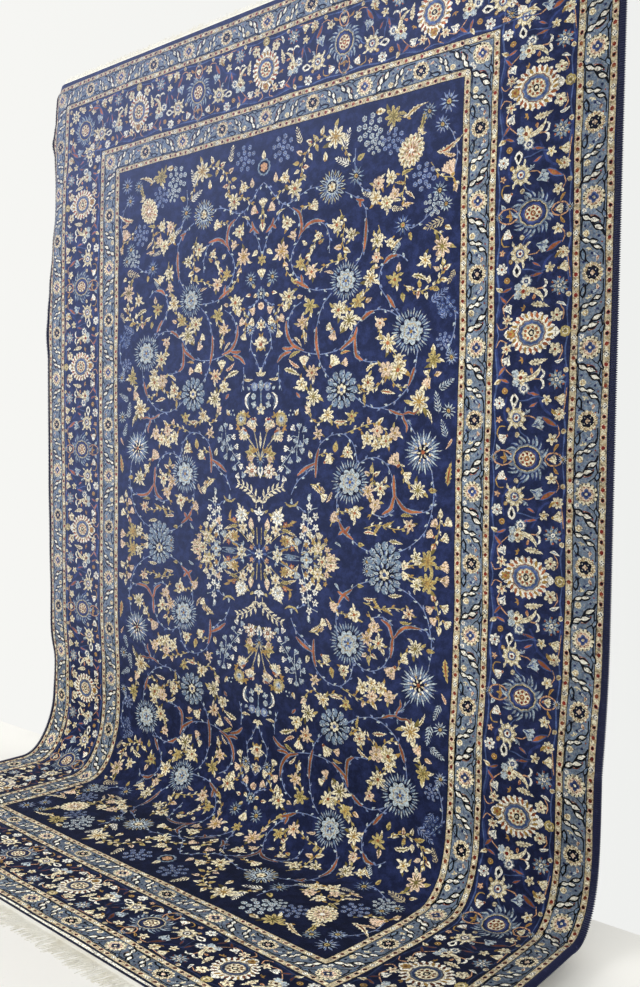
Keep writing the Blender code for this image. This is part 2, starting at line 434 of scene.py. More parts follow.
def sprig(pen, pairs, yarn, reach, spread=52):
    """A straight stem with leaves in pairs, which points up from its foot."""
    pen.lay(leaf(0.95, 0.028, steps=3), yarn)
    for index in range(pairs):
        share = (index + 0.6) / (pairs + 0.4)
        size = reach * (1 - 0.45 * share)
        for side in (-1, 1):
            pen.part(0, share * 0.9, size, spread * side).lay(
                leaf(1, 0.13, -0.2 * side, steps=4), yarn)
    pen.part(0, 0.86, 0.6 * reach).lay(leaf(1, 0.3, steps=4), yarn)


def jagged_leaf(pen, yarn, shade, bend, width):
    """A bent leaf with a toothed edge and a vein."""
    pen.lay(leaf(1, width, bend, 0.75, teeth=6), yarn)
    pen.lay(leaf(0.82, width * 0.28, bend, 0.8, start=0.05, steps=5), shade)


def crescent(pen, yarn, shade):
    """A small curled leaf."""
    pen.lay(leaf(1, 0.2, 0.75, 0.9), yarn)
    pen.lay(leaf(0.7, 0.06, 0.7, 0.9, start=0.12, steps=4), shade)


def cluster(pen, petal, heart, size=0.21):
    """A cluster of small round blooms in three rings."""
    for count, reach in ((1, 0), (5, 0.46), (8, 0.86)):
        for index in range(count):
            angle = TAU * (index / count + 0.04)
            spot = pen.part(reach * math.sin(angle), reach * math.cos(angle), size)
            spot.lay(lobed(6, 0.22, 0.6, steps=2), petal)
            spot.lay(oval(0.52, count=5), "indigo")
            spot.lay(oval(0.26, count=4), heart)


def forked_stem(pen):
    """A thick leafy stem that forks in two, with curled tips."""
    limbs = (
        ((0.02, -1.25), (0.1, -0.6), (0, 0.05)),
        ((0, 0), (-0.3, 0.42), (-0.36, 0.85), (-0.72, 1.12)),
        ((0, 0), (0.36, 0.24), (0.66, 0.62), (1.1, 0.7)),
    )
    for width, yarn in ((0.24, "sky"), (0.15, "rust")):
        for limb in limbs:
            pen.line(limb, width, yarn, taper=0.7, spacing=0.25)
    for x, y, turn in ((-0.2, 0.1, -120), (0.14, -0.5, 60), (0.34, 0.5, -10)):
        pen.part(x, y, 0.42, turn).lay(leaf(1, 0.16, 0.4, steps=4), "sky")


# ---- rosettes and palmettes

PALMETTE_WIDTH = 0.86


def fringed_rosette(pen):
    """A pale ragged bloom inside a ring of fine blue petals."""
    burst(pen, 18, 0.6, 0.98, 0.058, "sky")
    burst(pen, 18, 0.66, 1.07, 0.034, "pale", turn=10)
    pen.lay(lobed(14, 0.14, 0.6, 0.68, steps=2), "midnight")
    pen.lay(lobed(9, 0.26, 0.8, 0.63, turn=0.2), "pale")
    pen.lay(lobed(8, 0.16, 0.7, 0.42, turn=0.4, steps=2), "sand")
    pen.lay(lobed(8, 0.16, 0.7, 0.36, turn=0.4, steps=2), "pale")
    burst(pen, 5, 0.04, 0.27, 0.06, "steel", turn=35)
    pen.lay(oval(0.08), "gold")


def feathered_rosette(pen):
    """Fine parted blue petals round a speckled heart."""
    pen.lay(lobed(15, 0.34, 1.2, 0.78, steps=2), "steel")
    burst(pen, 17, 0.42, 1, 0.042, "pale")
    burst(pen, 17, 0.35, 0.86, 0.045, "sky", turn=10)
    burst(pen, 11, 0.2, 0.62, 0.05, "ivory", turn=5)
    pen.lay(lobed(7, 0.3, 0.6, 0.34), "midnight")
    burst(pen, 6, 0.1, 0.34, 0.05, "cream", turn=20)
    dots(pen, 4, 0.4, 0.06, "gold", 20)
    pen.lay(oval(0.1), "rust")


def layered_rosette(pen, outer="sky", petals=12, centre="cream"):
    """Rings of blue scallops with dark creases and broken light edges, round a pale heart."""
    pen.lay(lobed(petals, 0.26, 0.9, 0.96), outer)
    burst(pen, petals, 0.62, 0.96, 0.075, "pale", turn=8)
    dots(pen, petals, 0.76, 0.045, "indigo", 8)
    burst(pen, petals, 0.44, 0.92, 0.038, "midnight", turn=180 / petals)
    pen.lay(lobed(petals - 2, 0.2, 0.8, 0.64, turn=0.3, steps=2), "midnight")
    burst(pen, petals - 2, 0.3, 0.64, 0.075, "pale", turn=15)
    burst(pen, petals - 3, 0.34, 0.54, 0.045, "steel", turn=3)
    pen.lay(lobed(6, 0.3, 0.6, 0.28), centre)
    pen.lay(oval(0.11), "steel")


def open_rosette(pen):
    """Pointed blue-edged petals with dark gaps round a small cream heart."""
    pen.lay(lobed(12, 0.3, 1.1, 0.8, steps=2), "steel")
    burst(pen, 12, 0.34, 0.95, 0.105, "pale")
    burst(pen, 12, 0.44, 0.86, 0.045, "midnight")
    burst(pen, 12, 0.6, 0.94, 0.035, "straw", turn=15)
    pen.lay(lobed(9, 0.12, 0.6, 0.44), "pale")
    pen.lay(oval(0.34, count=10), "midnight")
    pen.lay(lobed(6, 0.35, 0.6, 0.27), "cream")
    pen.lay(oval(0.09, count=5), "gold")


def small_rosette(pen, outer, heart="rust"):
    """A blue star bloom."""
    burst(pen, 11, 0.3, 1, 0.085, outer)
    burst(pen, 9, 0.25, 0.72, 0.045, "pale", turn=18)
    pen.lay(oval(0.32, count=7), "midnight")
    pen.lay(oval(0.24, count=7), "straw")
    pen.lay(oval(0.12, count=5), heart)


def cream_palmette(pen, wide=PALMETTE_WIDTH):
    """The great cream palmette: ragged petals flamed with rust and gold, and a ringed heart."""
    spread(pen, 0, (0, 180), leaf(0.34, 0.2, start=0.84, steps=4), "ivory")
    pen.lay(lobed(22, 0.15, 1.2, 1, wide=wide), "ivory")
    for index in range(22):
        angle = TAU * (index + 0.5) / 22
        spot = pen.part(0.8 * wide * math.sin(angle), 0.8 * math.cos(angle), 0.3,
                        math.degrees(angle) + 24)
        spot.lay(leaf(1, 0.21, start=-0.5, steps=4), "rust" if index % 3 else "gold")
    for size, yarn in ((0.67, "cream"), (0.61, "brick"), (0.58, "haze"), (0.52, "steel"),
                       (0.41, "sand"), (0.37, "cream")):
        pen.lay(lobed(12, 0.07, 0.7, size, steps=2, wide=wide * 1.04), yarn)
    dots(pen, 9, 0.27, 0.065, "rust", wide=wide)
    pen.lay(oval(0.15, 0.13, count=7), "midnight")
    pen.lay(oval(0.08, count=5), "cream")
    crown = pen.part(0, -0.88, 0.2)
    crown.lay(lobed(5, 0.35, 0.6), "gold")
    crown.lay(oval(0.35), "rust")


def blue_palmette(pen, wide=PALMETTE_WIDTH):
    """The great blue palmette: curled spikes round a sand ring and a spotted heart."""
    for index in range(24):
        turn = 15 * (index + 0.5)
        lean = (1 if turn < 180 else -1) * (0.9, 0.35, 0.7)[index % 3]
        spike = pen.part(0, 0, turn=turn)
        reach = (0.4, 0.28, 0.34)[index % 3]
        spike.lay(leaf(reach, 0.07, lean, start=0.62, steps=4), ("sky", "haze", "steel")[index % 3])
        if index % 3 != 1:
            spike.lay(leaf(0.75 * reach, 0.03, lean, start=0.67, steps=4), "pale")
    for size, yarn in ((0.74, "haze"), (0.66, "sand"), (0.6, "black"), (0.57, "indigo"),
                       (0.46, "steel"), (0.41, "brick"), (0.38, "cream")):
        pen.lay(lobed(12, 0.06, 0.7, size, steps=2, wide=wide), yarn)
    dots(pen, 8, 0.26, 0.065, "brick", wide=wide)
    pen.lay(oval(0.13, count=7), "rust")
    pen.lay(oval(0.06, count=5), "cream")


def great_field_palmette(pen):
    """A cream palmette with ragged rings of rust and straw petals."""
    pen.lay(lobed(17, 0.16, 0.8, wide=PALMETTE_WIDTH), "cream")
    for index in range(17):
        angle = TAU * index / 17
        place = pen.part(0.7 * PALMETTE_WIDTH * math.sin(angle), 0.7 * math.cos(angle), 0.3,
                         math.degrees(angle) + 12)
        place.lay(leaf(1, 0.18, start=-0.5, steps=4), ("gold", "rust", "straw")[index % 3])
    pen.lay(lobed(13, 0.14, 0.7, 0.56, wide=0.84), "blush")
    burst(pen, 9, 0.2, 0.52, 0.05, "straw")
    burst(pen, 7, 0.1, 0.4, 0.045, "rust", turn=20)
    pen.lay(lobed(5, 0.3, 0.6, 0.16), "ivory")
    trefoil(pen.part(0, 1.2, 0.3), "cream", "gold")


# ---- the borders

# Nested frames of the rug: how far in each starts, and its ground
FRAMES = (
    (0.019, "sand"), (0.0378, "black"), (0.0402, "haze"), (0.1108, "black"), (0.113, "sand"),
    (0.1322, "black"), (0.1342, "navy"), (0.3738, "black"), (0.3758, "sand"), (0.395, "black"),
    (0.3974, "haze"), (0.469, "black"), (0.4714, "sand"), (0.4922, "midnight"), (0.4947, "navy"),
)
FRAME_STEP = 0.04
PALE_END = 0.0075
GUARD_CELL = 0.0288
MINOR_CELL = 0.216
MINOR_BLOOM = 0.031
MAIN_LINE = 0.254
MAIN_CELL = 0.355
GREAT_SIZE = 0.075
BLUE_SIZE = 0.069
# The palmettes' places down a long side, blue and cream by turns
SIDE_PALMETTES = (0.238, 0.552, 0.906, 1.252, 1.616, 1.966, 2.32, 2.674, 3.005, 3.325, 3.622)
END_PALMETTES = 7


def frames(shapes):
    """Lay the grounds of the borders and of the field, one frame in the other."""
    for inset, yarn in FRAMES:
        left, right = inset, RUG_WIDTH - inset
        upper, lower = inset * TOP_SHARE, RUG_LENGTH - inset * BOTTOM_SHARE
        corners = ((left, upper), (right, upper), (right, lower), (left, lower))
        outline = []
        for start, end in zip(corners, corners[1:] + corners[:1]):
            start, end = np.array(start), np.array(end)
            count = int(np.linalg.norm(end - start) / FRAME_STEP)
            outline.append(start + (end - start) * (np.arange(count) / count)[:, None])
        shapes.append((np.concatenate(outline), yarn, 1))
    # The last rows at the bottom end are woven in the undyed warp's colour
    across = np.linspace(-0.01, RUG_WIDTH + 0.01, 66)
    ends = [np.column_stack([line, np.full(66, RUG_LENGTH - inset)])
            for line, inset in ((across, PALE_END), (across[::-1], -0.01))]
    shapes.append((np.concatenate(ends), "ivory", 1))


def border_pens(shapes, chance):
    """A pen for each border, with its length: x runs along it and y runs in from its edge."""
    return (
        (Pen(shapes, chance, (0, 1), (1, 0), (0, 0)), RUG_LENGTH, "left"),
        (Pen(shapes, chance, (0, 1), (-1, 0), (RUG_WIDTH, 0)), RUG_LENGTH, "right"),
        (Pen(shapes, chance, (1, 0), (0, TOP_SHARE), (0, 0)), RUG_WIDTH, "top"),
        (Pen(shapes, chance, (1, 0), (0, -BOTTOM_SHARE), (0, RUG_LENGTH)), RUG_WIDTH, "bottom"),
    )


def insets(side, inset):
    """How far from a border's two ends its corners are, for a line this far in."""
    if side in ("left", "right"):
        return inset * TOP_SHARE, inset * BOTTOM_SHARE
    return inset, inset


def guard(pen, length, side, inset):
    """A guard stripe: dark spots in peach blocks, and a chequered diamond on every fifth."""
    line = (inset[0] + inset[1]) / 2
    first, last = insets(side, line)
    count = int(round((length - first - last) / GUARD_CELL))
    step = (length - first - last) / count
    for index in range(count):
        spot = pen.motif(first + step * index, line)
        spot.lay(oval(0.0062, 0.0068, x=step / 2), "sand" if index % 2 else "cream")
        if index % 5 == 0:
            spot.lay(oval(0.0098, 0.0092, count=4), "ivory")
            for dx, dy in ((0, 0.0044), (0.0046, 0), (0, -0.0044), (-0.0046, 0)):
                spot.lay(oval(0.0024, x=dx, y=dy, count=4), "midnight")
        else:
            spot.lay(oval(0.0088, 0.0078, count=8), "blush")
            spot.lay(oval(0.0064, 0.0062), "brick")
            if index % 2:
                spot.lay(oval(0.004, 0.0042), "black")


def pale_bloom(pen):
    """A minor border's light rosette, with dark spots between its petals."""
    pen.lay(lobed(14, 0.14, 0.7, 1.06), "cream")
    dots(pen, 14, 0.9, 0.085, "black", 13)
    pen.lay(lobed(10, 0.12, 0.7, 0.74, steps=2), "blush")
    dots(pen, 10, 0.62, 0.07, "brick")
    pen.lay(lobed(4, 0.35, 0.8, 0.5), "steel")
    pen.lay(lobed(4, 0.35, 0.8, 0.36), "indigo")
    pen.lay(oval(0.15), "cream")


def dark_bloom(pen):
    """A minor border's rosette with a navy heart."""
    pen.lay(lobed(13, 0.2, 0.7, 1), "cream")
    burst(pen, 13, 0.62, 0.96, 0.06, "gold", turn=14)
    burst(pen, 13, 0.6, 0.84, 0.045, "rust")
    pen.lay(lobed(7, 0.18, 0.6, 0.64), "black")
    pen.lay(lobed(7, 0.18, 0.6, 0.52), "midnight")
    dots(pen, 4, 0.4, 0.06, "ivory", 45)
    pen.lay(lobed(4, 0.4, 0.8, 0.24), "blush")


def leaf_chain(pen, start, end):
    """A row of small white leaves with thick black edges, from one place to another."""
    (x, y), (end_x, end_y) = start, end
    place = pen.motif(x, y, math.hypot(end_x - x, end_y - y),
                      math.degrees(math.atan2(end_x - x, end_y - y)))
    place.line(((0.1, -0.28), (-0.04, 0), (0.08, 0.35), (-0.04, 0.7), (0.04, 1), (-0.08, 1.26)),
               0.13, "black", 0.5, 0.12)
    steps = ((0, -0.02, 4), (0.08, 0.31, 18), (0, 0.63, 6))
    for x, y, turn in steps:
        place.part(x, y - 0.05, 0.5, turn).lay(leaf(1, 0.33, 0.15, steps=5), "black")
    for x, y, turn in steps:
        place.part(x, y + 0.01, 0.38, turn).lay(leaf(1, 0.23, 0.15, steps=4), "ivory")


def edged_petal(pen, size, turn, yarn="blush", edge="brick"):
    """A long slanted petal with a dark edge."""
    place = pen.part(0, 0, size, turn)
    place.lay(leaf(1.1, 0.24, 0.1, start=-0.55, steps=5), edge)
    place.lay(leaf(0.9, 0.16, 0.1, start=-0.46, steps=4), yarn)


def edge_leaf(pen, x, y, size, turn):
    """A blue leaf with a black edge."""
    place = pen.motif(x, y, size, turn)
    place.lay(leaf(1, 0.22, 0.25, steps=5), "black")
    place.lay(leaf(0.62, 0.12, 0.2, start=0.18, steps=4), "sky")


# Black stems in a minor border: width, then places along it and in from its middle line
MINOR_STEMS = (
    (0.0044, (0.004, -0.031), (0.034, -0.03), (0.066, -0.032), (0.094, -0.026)),
    (0.004, (0.044, 0.03), (0.074, 0.033), (0.104, 0.032), (0.122, 0.028)),
    (0.004, (0.146, -0.022), (0.166, -0.031), (0.196, -0.03)),
    (0.0034, (0.16, 0.026), (0.18, 0.018), (0.188, 0.008)),
    (0.0034, (0.052, -0.03), (0.044, -0.016), (0.034, -0.006)),
)


def minor_spray(pen, size, flip):
    """What fills a minor border from a pale bloom to a dark one."""
    cell = pen.part(0, 0, 1, flip=flip)
    cell.matrix[:, 0] *= size
    for width, *points in MINOR_STEMS:
        cell.line(points, width, "black", spacing=0.02)
    edged_petal(cell.motif(0.058, -0.006), 0.032, -42)
    edged_petal(cell.motif(0.165, -0.008), 0.026, 140, "pale", "indigo")
    leaf_chain(cell, (0.05, 0.03), (0.098, -0.024))
    disc(cell.motif(0.102, 0.019, 0.0105), "cream", "gold", "ivory")
    leaf_chain(cell, (0.118, 0.028), (0.152, -0.022))
    edge_leaf(cell, 0.142, 0.028, 0.044, 88)
    edge_leaf(cell, 0.036, -0.027, 0.036, 100)
    trefoil(cell.motif(0.148, 0.01, 0.0095, 70), "cream", "straw")
    bud(cell.motif(0.176, -0.014, 0.009, 75), "blush", "brick")
    flower(cell.motif(0.034, 0.026, 0.0075), 5, "ivory", "pale", "brick")
    for x, y in ((0.112, -0.017), (0.16, 0.002), (0.08, 0.022), (0.184, 0.026)):
        cell.lay(oval(0.0046, x=x, y=y, count=5), "navy")
    for x, y in ((0.072, -0.02), (0.13, -0.026), (0.192, -0.022)):
        cell.lay(oval(0.003, x=x, y=y, count=5), "brick")


def minor_border(pen, length, side, band):
    """A light-blue stripe of rosettes with slanted leaves between them."""
    line = (band[0] + band[1]) / 2
    first, last = insets(side, line)
    count = int(round((length - first - last) / MINOR_CELL))
    count += count % 2
    step = (length - first - last) / count
    for index in range(count):
        pale = index % 2 == 0
        start = pen.part(first + step * (index if pale else index + 1), line)
        minor_spray(start, step / MINOR_CELL, 1 if pale else -1)
    for index in range(count + 1):
        spot = pen.motif(first + step * index, line, MINOR_BLOOM)
        if index % 2 == 0:
            pale_bloom(spot)
        else:
            dark_bloom(spot)


def ring_leaf(pen):
    """A white leaf looped into a ring."""
    pen.lay(leaf(2.1, 0.62, fullness=0.75, start=-1, steps=8), "ivory")
    pen.lay(leaf(1.15, 0.3, fullness=0.8, start=-0.6, steps=5), "midnight")


def horn_flower(pen):
    """A round bloom at the mouth of a long bent horn."""
    pen.line(((0.1, 0.3), (0.25, -0.6), (0, -1.7), (-0.9, -2.7)), 0.62, "cream", 0.75, 0.4)
    pen.line(((0, 0.1), (0.12, -0.7), (-0.05, -1.6), (-0.6, -2.2)), 0.16, "sand", 0.8, 0.5)
    pen.part(-0.55, -2.3, 0.8, -140).lay(leaf(1, 0.2, 0.4), "cream")
    pen.lay(lobed(7, 0.3, 0.55), "cream")
    dots(pen, 7, 0.62, 0.12, "gold", 25)
    pen.lay(oval(0.28, count=7), "brick")
    for side in (-1, 1):
        pen.part(0.55 * side, 0.72, 0.55, 40 * side).lay(lobed(5, 0.3, 0.6), "pale")


def speckled_flower(pen):
    """A blue bloom flecked with orange."""
    burst(pen, 9, 0.2, 1, 0.17, "sky")
    burst(pen, 9, 0.3, 0.8, 0.06, "pale", turn=8)
    dots(pen, 6, 0.82, 0.12, "rust", 30)
    dots(pen, 5, 0.45, 0.13, "sand")
    pen.lay(oval(0.24, count=7), "ivory")
    pen.lay(oval(0.11, count=5), "teal")


def edged_leaf(pen, size, turn):
    """A thick rust leaf with a blue edge."""
    place = pen.part(0, 0, size, turn)
    place.lay(leaf(1.1, 0.17, 0.15, start=-0.55), "steel")
    place.lay(leaf(0.92, 0.11, 0.15, start=-0.48), "rust")


# The main border's thin stems, from a cream palmette to a blue one: places along it and in from
# its middle line, in centimetres, then how wide each is, and its yarn
MAIN_STEMS = (
    (((0, -11.3), (6, -10.6), (12, -11.4), (20, -10.5), (27, -11.4), (35.5, -10.8)), 0.0052, "steel"),
    (((0, 10.6), (5, 11.3), (12, 10.4), (20, 11.3), (28, 10.6), (35.5, 11.2)), 0.0052, "steel"),
    (((3.5, 11.2), (8.5, 10.2), (12, 9.4), (14, 7.4)), 0.008, "indigo"),
    (((15, -1.6), (18, -3.2), (21, -4.2), (23, -7)), 0.0085, "indigo"),
    (((18, 7.2), (21, 7.8), (24, 7.6), (27, 5.2)), 0.0075, "indigo"),
    (((9, -10.6), (14, -11.6), (18, -11)), 0.008, "indigo"),
    (((5, 8.4), (8, 9.2), (11, 6.8), (12.4, 4.8)), 0.0034, "peach"),
    (((3.5, -9.4), (5.6, -9.8), (7.8, -8.6)), 0.0034, "peach"),
    (((15.4, -11.4), (19, -11), (22.4, -10.6)), 0.0034, "peach"),
    (((23.4, 1.2), (23.6, -1.2), (25, -3)), 0.0036, "peach"),
    (((19.2, 3.2), (19, 1), (18, -2.4), (18.4, -4.6)), 0.0036, "steel"),
    (((30.6, 9), (28.6, 10), (26.6, 9.2), (26.6, 7.4)), 0.004, "gold"),
    (((30, -8.6), (28, -9.8), (25.8, -9)), 0.0034, "peach"),
    (((2.4, 7.6), (1.6, 10), (3.6, 11.2)), 0.0034, "peach"),
    (((25.6, 3.4), (28, 2.4), (29.6, 0)), 0.0034, "steel"),
)


def horned(pen):
    """A pale forked leaf on a short stem."""
    for side in (-1, 1):
        pen.line(((0, 0), (0.3 * side, 0.5), (0.85 * side, 0.62), (1.25 * side, 0.3)), 0.34,
                 "ivory", 0.8, 0.3)
    pen.line(((0, 0.3), (0, -0.7)), 0.2, "peach", 0.3, 0.4)


def jagged_bloom(pen):
    """A broad cream bloom of torn petals with a pale ring and a red heart."""
    pen.lay(lobed(9, 0.34, 1.2), "cream")
    burst(pen, 9, 0.55, 0.94, 0.05, "straw", turn=20)
    pen.lay(lobed(9, 0.12, 0.6, 0.58, steps=2), "sand")
    pen.lay(oval(0.44, count=9), "steel")
    pen.lay(lobed(6, 0.2, 0.6, 0.32, steps=2), "ivory")
    pen.lay(oval(0.16), "brick")


def scalloped(pen):
    """A small pale bloom with a scalloped edge and blue rims."""
    pen.lay(lobed(8, 0.24, 0.6), "haze")
    pen.lay(lobed(8, 0.24, 0.6, 0.78), "ivory")
    pen.lay(oval(0.42, count=7), "indigo")
    pen.lay(oval(0.24, count=5), "pale")


def torn_leaf(pen):
    """A small leaf that shows from under a bloom."""
    pen.lay(leaf(0.6, 0.13, 0.3, start=0.85, steps=4), "cream")


# What grows along them: a motif, its place in the same centimetres, its size and turn, its looks
MAIN_BLOOMS = (
    (star, 4.2, 7.8, 1.8, 40, 6, "cream", "peach", "rust"),
    (flower, 4.8, -7.6, 2, 20, 5, "cream", "sand", "brick"),
    (thistle, 7.4, 7.4, 1.5, 60, "ivory", "haze"), (trefoil, 7.6, 2.8, 1, 20, "gold", "rust"),
    (jagged_leaf, 8.4, 0.4, 5.8, 176, "cream", "sand", 0.25, 0.19),
    (crescent, 8.2, -7.4, 2.6, 160, "ivory", "sky"), (speckled_flower, 13.2, -8.3, 2.9, 0),
    (scalloped, 15.6, 1.8, 1.9, 0), (horn_flower, 12.6, 2.8, 2.35, 4), (horned, 13, -3, 2.2, 180),
    (bud, 13.8, 10.5, 1.4, 30, "cream", "gold"), (disc, 16.3, 7.9, 1, 0, "gold", "rust", "cream"),
    (ring_leaf, 19.1, 4.8, 2.1, 86), (flower, 19.8, 9.6, 1.9, 10, 7, "ivory", "pale", "brick"),
    (star, 18.8, -5.4, 1.6, 20, 5, "cream", "straw", "gold"),
    (bell, 18.6, -9.4, 1.8, 170, "cream", "straw", "gold"),
    (flower, 22.8, -9.4, 1.9, 5, 8, "cream", "sand", "rust"),
    (crescent, 21.2, -7, 2.4, 100, "gold", "olive"), (jagged_bloom, 24, 3.9, 3.2, 10),
    (torn_leaf, 24, 3.9, 3.2, 50), (torn_leaf, 24, 3.9, 3.2, 130), (torn_leaf, 24, 3.9, 3.2, 250),
    (star, 24.6, 9.6, 1.1, 30, 5, "peach", "cream", "rust"),
    (thistle, 25.6, -2.8, 1.9, 200, "pale", "steel"),
    (star, 29.8, -7.6, 1.8, 15, 5, "cream", "sand", "gold"),
    (bell, 29.8, 7.8, 1.7, 30, "ivory", "peach", "rust"),
    (disc, 27.6, -11, 0.8, 0, "sand", "gold", "brick"),
    (disc, 10.6, -11, 0.8, 0, "cream", "gold", "rust"),
    (disc, 28.8, 3.4, 0.8, 0, "sand", "cream", "rust"), (bud, 32.6, 9.6, 1.2, -60, "pale", "haze"),
    (bud, 10.8, -0.6, 1, 100, "peach", "rust"), (trefoil, 22.2, 0.6, 1, 300, "pale", "steel"),
    (crescent, 31.2, -9.8, 2.4, 20, "gold", "rust"), (disc, 21.8, 6.8, 0.7, 0, "gold", "cream", "rust"),
)
# The thick rust leaves: place, length and turn
MAIN_LEAVES = ((10.4, 9.2, 3.8, 40), (13.2, 8, 3.4, -30), (20.4, -1.4, 3, 200), (17.4, -1.6, 3.4, 160),
               (25.2, -6.4, 5.6, 142), (26.4, -3.6, 3, 120), (16.6, 1, 3.2, 130))


def main_spray(pen, size, flip):
    """What fills the main border from a cream palmette to a blue one. Its places are in
    centimetres along the border and in from its middle line."""
    cell = pen.part(0, 0, flip=flip)
    cell.matrix[:, 0] *= size

    def spot(x, y, size, turn=0):
        return cell.motif(x / 100, y / 100, size / 100, turn)

    for points, width, yarn in MAIN_STEMS:
        cell.line([(x / 100, y / 100) for x, y in points], width, yarn, 0.4)
    for x, y, size, turn in MAIN_LEAVES:
        edged_leaf(spot(x, y, 100), size / 100, turn)
    for motif, x, y, size, turn, *looks in MAIN_BLOOMS:
        motif(spot(x, y, size, turn), *looks)


def palmette_loops(pen):
    """The looped stems at both sides of a blue palmette."""
    for rise, wide, high in ((7.9, 2.2, 3.1), (-8.2, 1.9, 2.6)):
        ring = [(wide * math.sin(turn) / 100, (rise + high * math.cos(turn)) / 100)
                for turn in np.linspace(0, TAU, 13)]
        pen.line(ring, 0.0044, "peach", spacing=0.012)
    trefoil(pen.motif(0, 0.074, 0.0155), "gold", "rust")
    bell(pen.motif(0, -0.078, 0.015, 180), "cream", "gold", "rust")
    small_rosette(pen.motif(0, 0.108, 0.015), "sky", "rust")
    small_rosette(pen.motif(0, -0.11, 0.014), "pale", "rust")


def main_border(pen, length, side):
    """The broad navy border: cream and blue palmettes by turns, with sprays between them."""
    if side in ("left", "right"):
        spots = np.array(SIDE_PALMETTES)
    else:
        spots = np.linspace(MAIN_LINE, length - MAIN_LINE, END_PALMETTES)
    for index in range(1, len(spots), 2):
        for other, flip in ((index - 1, -1), (index + 1, 1)):
            size = abs(spots[other] - spots[index]) / MAIN_CELL
            main_spray(pen.part(spots[index], MAIN_LINE), size, flip)
    for index, spot in enumerate(spots):
        place = pen.motif(spot, MAIN_LINE)
        if index % 2:
            disc(place.motif(0, -0.104, 0.017), "straw", "cream", "olive")
            cream_palmette(place.part(0, 0, GREAT_SIZE, 180))
        elif 0 < index < len(spots) - 1:
            palmette_loops(place)
            blue_palmette(place.part(0, 0, BLUE_SIZE, 180))


def corner(pen):
    """The outer corner of the main border; x and y run in from the rug's corner."""
    blue_palmette(pen.motif(MAIN_LINE, MAIN_LINE, BLUE_SIZE, 45), 0.96)
    star(pen.motif(0.185, 0.18, 0.03, 45), 8, "cream", "sand", "cream")
    pen.lay(oval(0.01, x=0.185, y=0.18, count=9), "teal")
    pen.lay(oval(0.0042, x=0.185, y=0.18), "ivory")
    for x, y, turn in ((0.16, 0.238, 90), (0.238, 0.16, 0)):
        flower(pen.motif(x, y, 0.017, turn), 5, "cream", "gold", "brick")
    for x, y, turn in ((0.155, 0.29, 40), (0.29, 0.155, 50)):
        bud(pen.motif(x, y, 0.014, turn), "ivory", "gold")
    for x, y, turn in ((0.172, 0.325, 20), (0.325, 0.172, 70)):
        edged_leaf(pen.motif(x, y), 0.055, turn)
    for x, y in ((0.15, 0.15), (0.215, 0.15), (0.15, 0.205)):
        disc(pen.motif(x, y, 0.01), "sand", "cream", "rust")
    small_rosette(pen.motif(0.338, 0.338, 0.019), "sky", "rust")
    for x, y, turn in ((0.345, 0.29, 200), (0.29, 0.345, 250)):
        crescent(pen.motif(x, y, 0.036, turn), "cream", "gold")


def draw_borders(shapes, chance):
    """Draw the four borders, their guards and their corners."""
    for pen, length, side in border_pens(shapes, chance):
        main_border(pen, length, side)
    for u, v, across, down in ((0, 0, 1, 1), (1, 0, -1, 1), (0, 1, 1, -1), (1, 1, -1, -1)):
        share = TOP_SHARE if v == 0 else BOTTOM_SHARE
        corner(Pen(shapes, chance, (across, 0), (0, down * share), (u * RUG_WIDTH, v * RUG_LENGTH)))
    for pen, length, side in border_pens(shapes, chance):
        for band in (MINOR_1, MINOR_2):
            minor_border(pen, length, side, band)
        for band in (GUARD_1, GUARD_2, GUARD_3, GUARD_4):
            guard(pen, length, side, band)


# ---- the field

